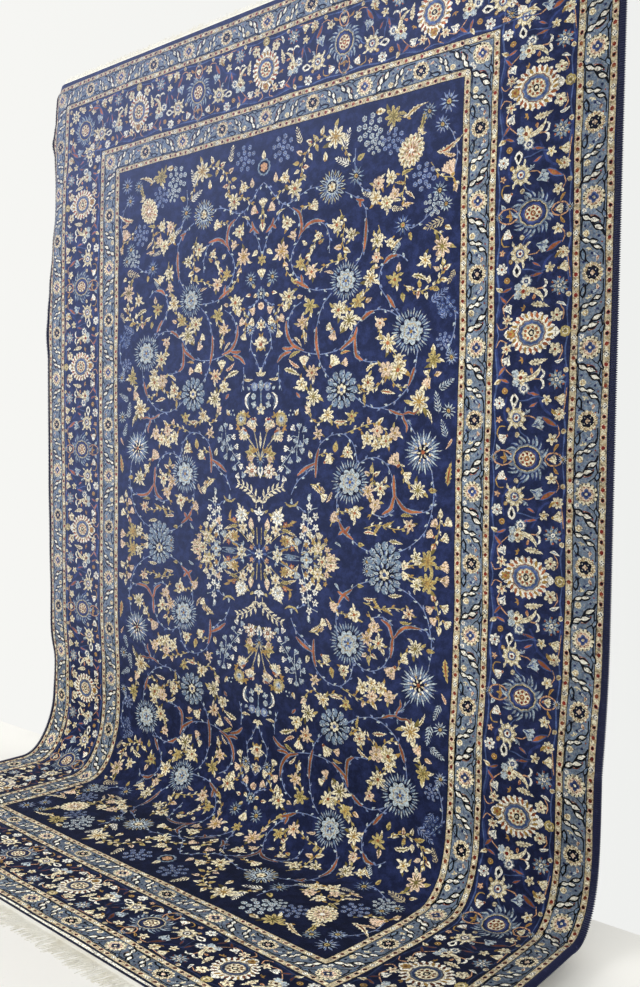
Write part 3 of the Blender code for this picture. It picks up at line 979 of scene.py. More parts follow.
# The field's pattern is mirrored about its two middle lines, so one quarter is drawn. Places
# are on the flat rug, in centimetres from its left edge and its top end.
VINES = (
    ((129.5, 64), (132, 66), (135, 69.5), (139, 73), (142.5, 73), (146, 71.5), (151, 69.8), (156, 70)),
    ((139, 73), (137, 77), (133.5, 81), (131, 86), (129.5, 91)),
    ((142, 74.5), (146, 78), (147.5, 83), (152, 81.5), (157.5, 83), (160, 88), (160, 93)),
    ((147.5, 85.5), (144, 90), (143.5, 95), (146, 99.5), (149, 103), (154, 104.8), (162, 105)),
    ((166, 73.5), (170.5, 76), (174.3, 80), (175.2, 87), (174, 94), (171, 98.5)),
    ((161, 106.5), (157.5, 110), (155.5, 115), (154.5, 121), (155.5, 127), (157.5, 132), (160, 135)),
    ((148, 108.5), (144, 111), (142, 116), (143.5, 121), (148, 125), (155, 126.8), (162, 126.5),
     (167, 124.5), (171, 119), (175, 115.5), (180, 114), (185, 115), (190, 118)),
    ((171.5, 121), (171.8, 127), (174.5, 130.3), (180, 131)),
    ((191.5, 99.5), (188.5, 97.3), (184, 98), (181, 101.5), (180.5, 106), (183, 110), (187, 114.5),
     (190, 118)),
    ((195.5, 128), (194.5, 134), (192, 140), (187.5, 144), (181.5, 146), (176, 145), (171, 142)),
    ((182, 146), (188, 147.8), (192, 150.5), (195.5, 155)),
    ((154.5, 163), (157, 158), (161.5, 155), (167, 154.6), (171, 158), (172.5, 163), (172.3, 166)),
    ((172.5, 165), (176, 162.8), (180.5, 162.4), (184.5, 164.5), (187, 168.5), (187.7, 172)),
    ((202, 166), (203, 173), (202, 180), (199.5, 186), (194.5, 190.5), (188, 193.5)),
    ((165.5, 172), (164.7, 178), (165.5, 183), (169, 188), (174, 192), (180, 194)),
    ((144.5, 176), (147, 171.5), (151, 168.5), (154.5, 165)),
    ((193, 179), (198, 179.6), (201.5, 178.5), (203.8, 175.5)), ((179.5, 181), (184, 181.8), (188, 179.5)),
    ((170, 60), (170, 66), (171.5, 71.5), (174.5, 74.5), (176.5, 75)),
    ((189.5, 88), (193, 89.3), (198, 87), (202, 84)),
    ((129.5, 101), (131, 106), (134.5, 108), (136.5, 112), (136, 117)),
    ((138, 130), (138, 135), (139.3, 139)),
    ((129.5, 112), (133.5, 117), (134.5, 123), (131.5, 128), (129.5, 133)),
    ((203, 57), (207, 62), (209, 68), (208, 74)), ((205, 112), (209, 117), (208.5, 124), (206, 130)),
    ((144, 179), (150, 181.5), (150.5, 188), (152, 195)),
)
CREAM_STEMS = (
    ((159, 53.5), (153, 54.2), (149, 57), (147, 62), (148.5, 66)),
    ((145, 69), (141, 67.5), (138, 68.5), (134, 71.5)), ((129.5, 72), (130.3, 77), (129.5, 81)),
    ((163.5, 57), (166, 60), (168, 64)), ((153, 76), (148.5, 75.5), (146, 78)),
    ((164, 79), (166, 84), (165.5, 90), (167, 95), (160, 96.5), (153, 99), (149, 97), (146, 95)),
    ((140, 92), (141.5, 97), (145, 100.5), (149, 103)),
    ((155, 86), (153.5, 89), (151.5, 92), (151, 96), (152.5, 98.5)),
    ((142, 106), (139, 108.5), (137, 111), (137.5, 117)),
    ((152.5, 109), (151.5, 114), (149, 118), (150, 123)),
    ((163, 112), (168, 112.5), (172.5, 111), (175, 107.5), (177, 104)),
    ((181.5, 118), (181, 122), (184, 125.5), (188, 130)),
    ((190, 107), (195, 109.5), (201, 108.5), (204, 105), (204.5, 101)),
    ((199.5, 70), (203, 74.5), (208, 76), (209, 80)), ((189, 69), (190, 74), (189, 79), (191, 83)),
    ((180, 86.5), (181, 91), (180, 96), (178, 102)), ((200, 90), (204, 93), (205, 97), (204, 102)),
    ((184, 134), (180, 139), (174, 140.5), (172, 138)), ((184, 134), (187.5, 139), (192, 140)),
    ((201.5, 127), (201, 133), (199, 138), (197.5, 144), (196.5, 149)),
    ((160, 149), (155, 150.5), (151, 146), (153, 141)), ((160, 149), (165, 151.5), (168, 150)),
    ((168, 154), (174, 152), (180, 151), (184, 154), (186, 157)),
    ((188, 162), (191, 166), (192.5, 170), (196, 172)),
    ((179, 164), (179.5, 169), (178, 174), (180, 178), (178, 183)), ((162, 186), (165, 181), (171.5, 181)),
    ((153, 172), (157, 172.5), (159.5, 176)), ((176, 186), (182, 184.5), (189, 185.5), (194, 184)),
    ((205.5, 178), (205, 185), (203, 190.5), (200, 194)),
    ((190, 197), (196, 196.5), (202, 196), (207, 197)), ((156, 162), (159.5, 161), (163, 163)),
    ((185.5, 52), (190, 54), (194, 51)),
)
THICK_STEMS = (
    ((143.5, 75), (146.4, 77.2), (147.4, 80.5), (147.5, 83.5), (146.2, 86.2)),
    ((147.8, 84.3), (150.2, 82), (153.6, 81.3), (157.5, 82)), ((134.8, 77.2), (134, 79.6), (131.2, 82)),
    ((134, 79.4), (136, 81)), ((145.8, 101), (148.4, 102.4), (151.4, 104)), ((148.6, 102.4), (148, 99)),
    ((141.2, 114.5), (141.8, 119), (144.6, 123.2), (149.4, 125.2)),
    ((145, 123.8), (142.4, 124.4), (139.6, 124)), ((143.6, 125.4), (140, 126.4), (137.3, 129)),
    ((171.8, 119), (170.8, 122), (168, 124.2), (164.6, 126.2)),
    ((171.2, 121.5), (171, 125.5), (171.6, 128.6), (174, 130.2)),
    ((154.8, 117.5), (154.8, 123), (156, 128.6)), ((174.9, 83.5), (175, 89), (174.2, 94.5)),
    ((170.6, 76.6), (172, 77.2), (173.8, 77.4)), ((172, 77), (172.4, 79.4)),
    ((187.6, 168), (187.9, 172), (188.2, 176)), ((188, 174.6), (186.6, 179), (183.2, 181)),
    ((188.4, 174.8), (191.4, 178.4), (194.6, 179.5), (198.6, 179.4)),
    ((165.6, 184), (167.2, 186.8), (169.4, 188.6), (171.6, 190)), ((168.2, 187.8), (170.2, 185.6)),
    ((167.6, 187.2), (165.4, 188.6)), ((156.4, 159.5), (155.2, 163.8), (155.2, 169.6)),
    ((155, 164.6), (150.6, 166.6), (147, 169.2)), ((146, 139.8), (147.6, 141.6)),
    ((183.6, 109.5), (185.3, 112), (186.8, 114)), ((194.4, 133.5), (193.3, 137), (192.2, 139.5)),
    ((182.2, 99.5), (184.5, 97.6), (187.5, 97.2)), ((173.5, 117), (176, 115.2), (178.5, 114.2)),
)
GREAT_ROSETTES = (
    (fringed_rosette, 167, 103, 6.4), (fringed_rosette, 193, 122, 7.2),
    (fringed_rosette, 170, 170.5, 7.4), (layered_rosette, 165.5, 139.5, 7),
    (layered_rosette, 184.5, 196.5, 7.2), (open_rosette, 160.5, 71, 6.2),
    (feathered_rosette, 198.5, 160.5, 7.2),
)
SMALL_ROSETTES = (
    # across, down, size, petals
    (170.5, 69, 3.3, "sky"), (189.5, 88, 3.6, "steel"), (203, 79, 3, "sky"), (205.5, 52.5, 3.6, "lilac"),
    (198.5, 54, 2.8, "sky"), (203.5, 59, 2.9, "lilac"), (134.8, 98, 3, "sky"), (205.5, 83.5, 2.6, "pale"),
    (177.5, 197, 2, "pale"), (208, 131, 2.6, "lilac"), (207.5, 147.5, 2.7, "pale"),
    (134.8, 116.5, 2.2, "pale"),
)
STARS = (
    # across, down, size, points
    (161.5, 54.5, 3.9, 8), (144.2, 68.5, 3.2, 8), (184.8, 52.5, 3.3, 8), (138.8, 89.5, 3.2, 8),
    (162.8, 84, 2.7, 6), (169, 88, 2.3, 7), (147.5, 95, 2.2, 6), (152.5, 98.5, 2.5, 6),
    (179.5, 91.5, 2.4, 6), (177, 103.5, 2.9, 7), (186.5, 105, 2.5, 7), (204.2, 96.5, 3.3, 8),
    (198, 100, 2.3, 6), (142.5, 106, 3, 7), (151.8, 110, 2.7, 6), (148.5, 115.5, 2.4, 6),
    (164, 112.5, 3, 7), (168.5, 116.5, 3.5, 8), (172, 110.5, 2.4, 5), (152.8, 133, 2.7, 8),
    (153.5, 141.5, 3.1, 8), (160, 148, 2.6, 7), (170, 148.5, 2, 5), (156, 154.5, 2, 6),
    (196.5, 144.5, 3.7, 8), (184, 125, 3.1, 8), (201.5, 131.5, 2.7, 7), (177.5, 173.5, 2.5, 7),
    (182.5, 172.5, 2.5, 6), (197, 172.5, 2.9, 9), (201, 195, 3.3, 8), (194, 184, 2.1, 6),
    (196.8, 194, 2.1, 6), (138.5, 184.5, 2.9, 8), (156.5, 194, 2.9, 6), (134, 168, 2.7, 8),
)
FLOWERS = (
    # across, down, size, petals
    (188, 134, 3.6, 7), (183.2, 133.5, 2.8, 6), (176.3, 137.5, 2.7, 6), (176.5, 156, 2.5, 5),
    (180.5, 153.5, 2.3, 6), (180.2, 158, 2.1, 5), (184, 157, 2.4, 6), (187.5, 154.5, 2.4, 5),
    (172.2, 181, 2.7, 4), (148.3, 137, 2.5, 5), (181, 118.5, 2, 5), (139.5, 64, 2.1, 6), (141, 80, 2.5, 6),
    (143.8, 84.5, 1.7, 5), (155, 86.5, 1.6, 5), (184.8, 93, 1.7, 5), (179.3, 97, 1.9, 6),
    (188.2, 130.5, 1.9, 6), (168.5, 160.5, 2.2, 6), (180.5, 178, 2.3, 5), (129.5, 121.5, 2.5, 6),
    (184.5, 72, 2.2, 5), (179.5, 73, 2.4, 6), (178.5, 77.5, 2.5, 6), (183, 80, 2.6, 7), (186, 77.5, 2, 5),
    (143, 193, 2.3, 6), (134, 162, 2, 4), (162.5, 197.5, 2.4, 6),
)
BELLS = (
    # across, down, size, turn
    (152.6, 76, 2.6, 75), (133.5, 73.5, 2.2, 60), (129.5, 71.5, 2.4, 0), (206.5, 73, 3.2, -30),
    (162, 130, 2.8, 40), (166.5, 130.5, 1.8, 80), (149.5, 129, 2.5, 0), (188, 163.5, 3, -40),
    (192.5, 168, 2.2, 120), (164, 183, 2.4, -60), (160.2, 163.5, 2.3, 60), (203.5, 183, 1.9, -50),
    (208, 182.5, 2, 60), (202, 186.5, 1.9, -60), (207, 187.5, 2, 70), (199.5, 139, 2.2, -30),
    (140.5, 109.5, 1.9, 120), (134, 109.5, 1.9, -110), (134.5, 113.8, 2, -70), (138.8, 113.5, 2, 70),
    (138, 118.5, 1.9, 160), (162, 121, 2, 200), (160.5, 118, 1.8, -60), (207, 196.5, 2.3, 80),
    (192.8, 197, 1.9, -80), (150.5, 188, 1.7, 30), (158.8, 176, 2, 130), (133.5, 151.5, 3.2, 28),
    (139, 149, 3.3, 42), (137.5, 155, 3.1, 70),
)
BUDS = (
    # across, down, size, turn
    (156, 51, 1.9, 20), (152.8, 52.8, 1.9, -40), (150, 53.5, 1.7, -70), (145.8, 56.5, 1.8, -60),
    (151, 59, 1.7, 150), (144.3, 60, 1.7, -90), (144.7, 63, 1.5, -110), (149.2, 62, 1.6, 100),
    (148.3, 65.5, 1.6, 150), (153.6, 56.5, 1.6, 160), (157.3, 60, 2, 0), (135.2, 63, 2.1, 0),
    (129.5, 80, 2.1, 180), (172.5, 63, 2, 60), (180, 50, 2.2, 90), (208.8, 79, 1.8, 170),
    (149, 88, 1.6, -50), (156.5, 88.5, 1.6, 60), (152.5, 90.5, 1.5, 170), (163.5, 91.5, 2, -90),
    (167.5, 93, 2, 120), (164.3, 95, 1.8, 190), (151, 93, 1.6, 60), (188, 101, 1.9, 10),
    (192, 108, 1.5, -60), (196, 107, 1.6, -10), (199.5, 106, 1.6, 10), (195.5, 110.8, 1.5, 190),
    (198.7, 111.3, 1.5, 170), (202.3, 109.5, 1.7, 110), (205.3, 107, 1.7, 100), (202, 103, 1.6, -60),
    (206.3, 103, 1.7, 60), (189.8, 111, 1.8, 170), (201.3, 128, 1.8, 0), (203.5, 136, 1.7, 70),
    (198.8, 135.5, 1.5, -60), (190.5, 131.5, 1.3, 60), (180.3, 123.2, 1.6, -90), (177, 150, 1.6, -10),
    (182, 150, 1.6, 50), (178.8, 166, 1.8, 0), (181.2, 167.5, 1.6, 60), (176.8, 167.5, 1.6, -60),
    (184.5, 169.5, 1.5, 20), (202.8, 172.5, 1.8, 90), (205.5, 179.5, 1.8, 0), (203, 191, 1.9, 200),
    (152.5, 161.5, 1.9, -20), (163.5, 158.5, 2.3, 10), (146.5, 146.5, 1.6, 30), (151, 145.5, 2, -50),
    (129.8, 168.5, 2.2, 180), (175, 191.5, 1.6, 90), (150, 120.5, 1.7, 180), (176.5, 110.5, 1.7, 70),
    (173.8, 108, 1.6, 10), (145, 101, 1.7, -70), (165.5, 119, 1.8, 190), (141, 94.5, 1.6, 120),
    (132, 104, 1.5, -60), (133.5, 100.5, 1.4, 60), (136, 103.8, 1.5, 100), (147.5, 106.5, 1.6, 80),
    (206.5, 91, 1.6, 120), (192.5, 92, 1.6, 170), (133.2, 89, 2, 120),
)
LEAVES = (
    # foot across, foot down, length, turn, bend
    (190, 54.5, 6.5, 25, 0.9), (196.5, 53.5, 6.5, 165, 0.7), (201.5, 67, 7.5, 110, -0.9),
    (208.5, 69, 5, -100, 0.6), (136, 76.5, 4, 40, 0.5), (208, 171, 8, 0, 0.15),
    (153.5, 172.5, 5.5, 100, 0.5), (158, 172.5, 4.5, 150, 0.4), (176, 187.5, 5, 70, 0.5),
    (183.5, 184.5, 4.5, 90, -0.4), (140.5, 131.5, 7.5, 95, 0.25), (147.5, 131, 5.5, -80, 0.4),
    (138, 134.5, 4.5, -110, 0.3), (143, 127.5, 5.5, 50, 0.3), (163, 150, 5.5, 110, -0.4),
    (176.5, 101, 4, 60, 0.4), (193, 104.5, 6.5, 80, 0.6), (165, 127.5, 4, 60, 0.4),
    (175.5, 134, 4.5, 20, 0.9), (162.5, 174, 4.5, 190, 0.4), (181.5, 140.5, 6, 95, 0.1),
    (175, 141, 4.5, 185, -0.2), (199, 147, 5, 130, 0.4), (164, 158, 3, 190, 0.2),
    (129.8, 138, 4.5, 40, 0.7), (188.5, 72, 4.5, 60, 0.3), (190, 77.5, 4.5, 110, 0.3),
    (189, 82, 4.5, 70, 0.3), (188.5, 80, 4, -70, -0.3), (189.5, 75, 4, -60, -0.3),
    (185.5, 95, 4.5, 30, 0.4), (162, 100, 4, -60, -0.3), (145, 120.5, 4.5, 110, 0.5),
    (180, 188, 4.5, 20, 0.4), (186, 189.5, 5.5, 90, 0.1), (209, 156, 4, -160, 0.2), (144, 192, 6, 120, 0.3),
    (190.5, 181, 4.5, 70, 0.4),
)
SPRIGS = (
    # foot across, foot down, length, turn, yarn
    (146.5, 54, 6.5, -15, "cream"), (165, 59.5, 7, 20, "ivory"), (168, 65, 7, -62, "ivory"),
    (205.5, 88, 8, -105, "sand"), (203.5, 141, 6.5, 60, "pale"), (204, 148.5, 7, -10, "pale"),
    (200, 113.5, 7.5, 60, "lilac"), (206, 119.5, 6.5, -30, "lilac"), (208.5, 133, 5.5, -20, "pale"),
    (207, 156, 6, -20, "pale"), (178.5, 77, 5.5, -70, "cream"), (184.5, 82, 5, 100, "cream"),
    (209, 104, 5, -150, "sand"), (162.5, 122.5, 5, -20, "ivory"), (188.5, 92.5, 5, -150, "pale"),
)
CLUSTERS = (
    # across, down, size, petals, heart
    (175.5, 55, 5.2, "pale", "ivory"), (178, 60, 3.4, "pale", "ivory"), (185, 60.5, 4.2, "lilac", "pale"),
    (197, 74, 4.4, "lilac", "pale"), (201, 83, 3.6, "pale", "ivory"), (206, 115.5, 3.4, "steel", "pale"),
    (205, 126, 2.8, "lilac", "pale"), (138.5, 53.5, 4.8, "lilac", "pale"),
)
WHITE_BELLS = (
    # across, down, turn
    (145, 152.4, -50), (147.6, 151.8, 0), (149.8, 153, 50), (143.4, 156, -80), (146.2, 156.4, 200),
    (150.6, 156.9, 100), (141.9, 159.6, -90), (144.6, 160, 170), (148.8, 160.2, 120), (140.6, 163.2, -100),
    (143.6, 163.8, 180), (147.2, 163.2, 150), (139.6, 166.8, -110), (142.6, 167.4, 160),
    (138.2, 169.9, -150), (140.9, 170.4, 160), (148.3, 157.9, 170),
)
WHITE_STEMS = (
    ((147.6, 153), (146.8, 157.5), (144, 161.2), (140.8, 164.6), (137.6, 168)),
    ((149.6, 154.6), (149.4, 158), (148.6, 161)), ((146.8, 157.5), (146.6, 160), (146.6, 162.6)),
    ((147, 155.5), (145, 155), (143.9, 155.8)), ((144.6, 160.6), (143, 160.2), (142.2, 159.8)),
    ((142.6, 162.8), (141.6, 162.2), (140.8, 162.6)), ((140.2, 165.2), (141.6, 166), (142.4, 167)),
    ((153.4, 175.2), (152.6, 180), (152.4, 185), (151.4, 190), (149.6, 195.6)),
    ((152.6, 182.2), (154.2, 180.6), (156.6, 180)), ((151.8, 189), (153.2, 188.2), (155.4, 187.4)),
    ((152.4, 185), (150.8, 184.4), (149.8, 182.8)),
)
TALL_BLOOMS = (
    (152.9, 179.8), (155.6, 183), (150.6, 183.5), (153.2, 184.9), (150, 187), (155.7, 187), (152.6, 188.6),
    (149.6, 190.2), (154.3, 190.6), (151.8, 192.6),
)


def leaflets(pen, points, gap, length, yarns):
    """Lay small leaves along a stem, on its two sides by turns."""
    line = smooth_line(points, gap)
    for index in range(1, len(line) - 1):
        along = line[index + 1] - line[index - 1]
        side = 1 if index % 2 else -1
        turn = math.degrees(math.atan2(along[0], along[1])) + 48 * side
        place = pen.motif(*line[index], length, turn)
        place.lay(leaf(1, 0.24, -0.25 * side, steps=4), yarns[index % len(yarns)])


def frond(pen, points, pairs, length, yarn):
    """Lay a bent stem with leaves in pairs."""
    line = smooth_line(points, 0.004)
    pen.line(points, 0.0034, yarn)
    for index in range(pairs):
        here = int((index + 0.9) / (pairs + 0.4) * len(line))
        along = line[here] - line[here - 1]
        turn = math.degrees(math.atan2(along[0], along[1]))
        for side in (-1, 1):
            place = pen.part(*line[here], length * (1 - 0.3 * index / pairs), turn + 58 * side)
            place.lay(leaf(1, 0.17, -0.25 * side, steps=4), yarn)


def quarter(pen):
    """Draw one quarter of the field. The pen's x runs out from the middle and its y runs up."""

    def spot(across, down, size, turn=0):
        return pen.motif((across / 100 - MIDDLE_U), (MIDDLE_V - down / 100), size / 100, turn)

    def path(points):
        return [(across / 100 - MIDDLE_U, MIDDLE_V - down / 100) for across, down in points]

    for points in VINES:
        pen.line(path(points), 0.0034, "lilac", spacing=0.015)
        leaflets(pen, path(points), 0.048, 0.016, ("lilac", "pale"))
    for points in CREAM_STEMS:
        pen.line(path(points), 0.003, "straw", spacing=0.014)
        leaflets(pen, path(points), 0.018, 0.018, ("cream", "straw", "cream", "gold"))
    for width, yarn in ((0.0165, "sky"), (0.0098, "rust")):
        for points in THICK_STEMS:
            pen.line(path(points), width, yarn, 0.7, 0.014)
    forked_stem(spot(190.5, 148.5, 4.6, 110))
    for across, down, size, turn, yarn in SPRIGS:
        sprig(spot(across, down, size, turn), 5, yarn, 0.34)
    for index, (across, down, length, turn, bend) in enumerate(LEAVES):
        jagged_leaf(spot(across, down, length, turn), ("cream", "straw", "cream", "blush")[index % 4],
                    ("gold", "olive", "rust")[index % 3], bend, 0.16)
    for across, down, size, petal, heart in CLUSTERS:
        cluster(spot(across, down, size), petal, heart)
    for stem in WHITE_STEMS:
        pen.line(path(stem), 0.0026, "pale", spacing=0.014)
    for index, (across, down, turn) in enumerate(WHITE_BELLS):
        thistle(spot(across, down, 1.2, turn), ("ivory", "pale", "pale")[index % 3], "steel")
    for across, down in TALL_BLOOMS:
        star(spot(across, down, 1.45, 40 * across), 5, "ivory", "pale", "midnight")
    bud(spot(152.6, 176.6, 1.4, 0), "pale", "ivory")
    for index, (across, down, size, turn) in enumerate(BUDS):
        bud(spot(across, down, 0.92 * size, turn), ("cream", "straw", "cream", "blush")[index % 4],
            ("gold", "sand", "rust", "olive", "gold")[index % 5])
    for index, (across, down, size, turn) in enumerate(BELLS):
        bell(spot(across, down, 0.92 * size, turn), ("cream", "blush")[index % 2],
             ("peach", "straw", "gold")[index % 3], ("gold", "rust", "olive")[index % 3])
    for index, (across, down, size, petals) in enumerate(FLOWERS):
        collar(spot(across, down, size), 67 * index, ("cream", "gold", "straw"))
        flower(spot(across, down, size, 25 * index), petals, ("cream", "blush", "cream")[index % 3],
               ("straw", "sand", "gold")[index % 3], ("rust", "gold")[index % 2])
    for index, (across, down, size, points) in enumerate(STARS):
        collar(spot(across, down, size), 41 * index, ("straw", "cream", "olive"))
        star(spot(across, down, 1.06 * size, 20 * index), points,
             ("cream", "cream", "straw", "blush")[index % 4],
             ("gold", "straw", "olive")[index % 3], ("gold", "rust", "olive")[index % 3])
    for across, down, size, petals in SMALL_ROSETTES:
        small_rosette(spot(across, down, size), petals)
    for motif, across, down, size in GREAT_ROSETTES:
        motif(spot(across, down, size))
    great_field_palmette(spot(192, 65, 5.6, 35))


def middle_column(pen):
    """Draw what stands on the upper half of the field's middle line."""

    def spot(down, size, turn=0, across=0):
        return pen.motif(across / 100, MIDDLE_V - down / 100, size / 100, turn)

    def path(side, *points):
        return [(side * across / 100, MIDDLE_V - down / 100) for across, down in points]

    crown = spot(58.5, 3.2)
    crown.lay(lobed(12, 0.1, 0.7, 1), "sky")
    crown.lay(oval(0.75, count=12), "midnight")
    crown.lay(lobed(6, 0.25, 0.6, 0.55), "peach")
    bud(spot(54, 1.8), "cream", "sand")
    star(spot(91.5, 2.2), 6, "straw", "gold", "olive")
    bell(spot(96.5, 2.2), "cream", "straw", "sky")
    layered_rosette(spot(103.5, 2.2), "sky", 8, "cream")
    disc(spot(108, 1.5), "blush", "peach", "rust")
    star(spot(115, 2.2), 6, "cream", "gold", "rust")
    fan(spot(121.8, 2.7), "cream", "peach", "rust", "gold")
    trefoil(spot(132.5, 2.1), "cream", "straw")
    bud(spot(137.5, 2.4, 180), "sky", "pale")
    pen.line(path(1, (0, 139.5), (0, 142.5), (0, 145)), 0.005, "sky")
    star(spot(145.8, 2.3), 5, "cream", "pale", "sky")
    small_rosette(spot(163.8, 2.4), "sky", "peach")
    bud(spot(168.6, 2.6, 180), "ivory", "teal")
    spot(160, 6).lay(leaf(1, 0.1), "cream")
    trefoil(spot(183, 2.3), "ivory", "sky")
    spot(184.6, 2.4, 180).lay(leaf(1, 0.28), "ivory")
    for side in (-1, 1):
        spot(137.4, 1.8, 0, 3.1 * side).lay(lobed(7, 0.14, 0.6, steps=2), "lilac")
        spot(137.4, 0.9, 0, 3.1 * side).lay(oval(count=7), "pale")
        spot(138.6, 1.9, 45 * side, 5.4 * side).lay(leaf(1, 0.34), "pale")
        pen.line(path(side, (5.2, 139.6), (7.2, 141), (7.4, 143.6), (6, 145.8)), 0.0095, "ivory",
                 0.8, 0.012)
        pen.line(path(side, (5, 140.6), (6.4, 141.8), (6.5, 143.4), (5.8, 144.6)), 0.004, "sky",
                 0.8, 0.012)
        disc(spot(141, 1.2, 0, 3.6 * side), "pale", "sky", "gold")
        star(spot(144, 1.4, 20, 3.4 * side), 4, "pale", "sky", "ivory")
        round_bloom = spot(149.2, 2.7, 0, 9.8 * side)
        round_bloom.lay(lobed(11, 0.14, 0.6), "straw")
        round_bloom.lay(lobed(8, 0.12, 0.6, 0.7), "sand")
        round_bloom.lay(lobed(6, 0.2, 0.6, 0.42), "pale")
        round_bloom.lay(oval(0.17), "steel")
        trefoil(spot(147.6, 1.6, -30 * side, 6.7 * side), "gold", "olive")
        trefoil(spot(152.6, 1.5, 120 * side, 11.4 * side), "gold", "rust")
        for width, yarn in ((0.004, "cream"), (0.002, "olive")):
            pen.line(path(side, (3.4, 153), (1.6, 158.5), (0.3, 163.5)), width, yarn)
            pen.line(path(side, (6.4, 156), (3.2, 159.4), (0.5, 163.5)), width, yarn)
        ragged_bell(spot(150, 3, 168 * side, 3.9 * side), "brick")
        ragged_bell(spot(154.2, 3.3, 152 * side, 7.9 * side), "rust")
        trefoil(spot(161.8, 2.7, 80 * side, 5.4 * side), "straw", "olive")
        trefoil(spot(160.6, 1.8, 15 * side, 3 * side), "gold", "olive")
        disc(spot(163.8, 1.2, 0, 4.7 * side), "blush", "gold", "rust")
        daisy(spot(168.2, 2.7, 12 * side, 4.1 * side), 7, "ivory", "rust")
        frond(pen, path(side, (1.6, 181.8), (1.9, 178.4), (4.4, 176), (8, 174.2), (11.4, 173.4)),
              6, 0.033, "cream")
        pen.line(path(side, (12.2, 179), (14.4, 180.2), (17, 179.8), (18.4, 178.2)), 0.0085,
                 "straw", 0.8, 0.014)
        spot(179.6, 2.2, 0, 15.3 * side).lay(leaf(1, 0.24), "pale")
        spot(183.4, 2.2, 55 * side, 2.6 * side).lay(leaf(1, 0.26), "straw")
        for across, down in ((14, 146), (15, 147.4), (13.4, 147.6), (15.8, 146.2)):
            spot(down, 0.42, 0, across * side).lay(oval(count=5), "pale")


# What stands in one quarter of the field's middle: across and up from it, size and turn
CENTRE_BELLS = ((18, 5.6, 1.8, 20), (27.6, 8.6, 1.7, 10), (23.4, 8.8, 1.4, -20))
CENTRE_LEAVES = (
    # foot across, foot up, length, turn, yarn
    (10.6, 9.4, 5.2, 82, "straw"), (11, 10.4, 5, 58, "gold"), (14, 8.6, 3.8, 84, "cream"),
    (2.6, 6.4, 4.6, 8, "straw"), (5.6, 12.2, 3.4, 20, "cream"), (31.6, 1.4, 3.6, 66, "cream"),
    (31, 3.8, 2.8, 48, "straw"), (25.4, 1.4, 3, 62, "pale"), (10.4, 1.6, 3.4, 50, "gold"),
    (24.6, 5.6, 3.2, 10, "gold"), (19.6, 2.2, 3.6, 66, "pale"), (12.4, 3.4, 3.4, 40, "cream"),
)
CENTRE_FLOWERS = (
    # across, up, size, petals, colours
    (9, 13.6, 3.4, 8, "ivory", "pale", "sand"), (8, 9, 2.8, 6, "cream", "blush", "gold"),
    (4.4, 5.6, 2.3, 5, "cream", "straw", "rust"), (12, 5.6, 2.4, 7, "gold", "straw", "olive"),
    (3.7, 2.3, 1.3, 5, "peach", "sand", "rust"), (27.3, 4.5, 2.5, 6, "cream", "blush", "gold"),
    (31.2, 4.3, 1.5, 5, "blush", "sand", "rust"), (24, 3.4, 1.7, 5, "cream", "straw", "rust"),
    (22, 5.2, 1.4, 5, "gold", "straw", "rust"), (30.6, 7.6, 1.2, 5, "gold", "straw", "rust"),
    (15.6, 3.2, 1.4, 5, "rust", "gold", "cream"), (12.6, 11.6, 1.3, 5, "rust", "peach", "cream"),
)


def centre(pen):
    """Draw the star of blooms at the field's middle, with its side bouquets."""
    burst(pen.motif(0, 0, 0.044), 8, 0.35, 1, 0.12, "steel")
    for side in (-1, 1):
        for y in (-1, 1):

            def spot(x, rise, size, turn=0):
                return pen.motif(x * side / 100, rise * y / 100, size / 100,
                                 (turn if y > 0 else 180 - turn) * side)

            def path(*points):
                return [(x * side / 100, rise * y / 100) for x, rise in points]

            for points in (((0.9, 3.4), (1, 6), (1.2, 9.8)), ((2.4, 2.8), (5, 6), (8.4, 11)),
                           ((5, 4.2), (10, 7.8), (15, 9.6)), ((20, 1.6), (27, 5), (31, 6.4))):
                pen.line(path(*points), 0.0032, "straw")
            pen.line(path((4, 0.5), (10, 2.4), (17, 4.6)), 0.0036, "sky")
            pen.line(path((9, 0.4), (14, 1), (19, 0.6)), 0.0036, "haze")
            for x, rise, length, turn, yarn in CENTRE_LEAVES:
                place = spot(x, rise, length, turn)
                place.matrix[:, 0] *= side * y
                jagged_leaf(place, yarn, "olive" if yarn == "straw" else "gold", 0.4, 0.16)
            for x, rise, size, turn in CENTRE_BELLS:
                bell(spot(x, rise, size, turn), "pale" if x < 20 else "cream", "straw", "gold")
            bud(spot(4, 11.2, 2.4, 4), "blush", "cream")
            for x, rise, size, petals, yarn, shade, heart in CENTRE_FLOWERS:
                star(spot(x, rise, 0.88 * size, 31 * x), petals, yarn, shade, heart)
            crescent(spot(14.6, 11.6, 3, 30), "gold", "straw")
            crescent(spot(34.4, 7, 2.6, 80), "pale", "sky")
            trefoil(spot(8.4, 3, 1.2, 60), "pale", "sky")
        star(pen.motif(0.088 * side, 0, 0.027), 6, "cream", "pale", "straw")
        pen.motif(0.12 * side, 0, 0.056, 90 * side).lay(leaf(1, 0.15), "sky")
        star(pen.motif(0.222 * side, 0, 0.028, 90), 4, "pale", "cream", "gold")
        star(pen.motif(0.292 * side, 0, 0.024, 20), 8, "cream", "straw", "rust")
        jagged_leaf(pen.motif(0.31 * side, 0, 0.05, 90 * side), "cream", "olive", 0, 0.14)
    star(pen.motif(0, 0, 0.021), 8, "ivory", "pale", "steel")


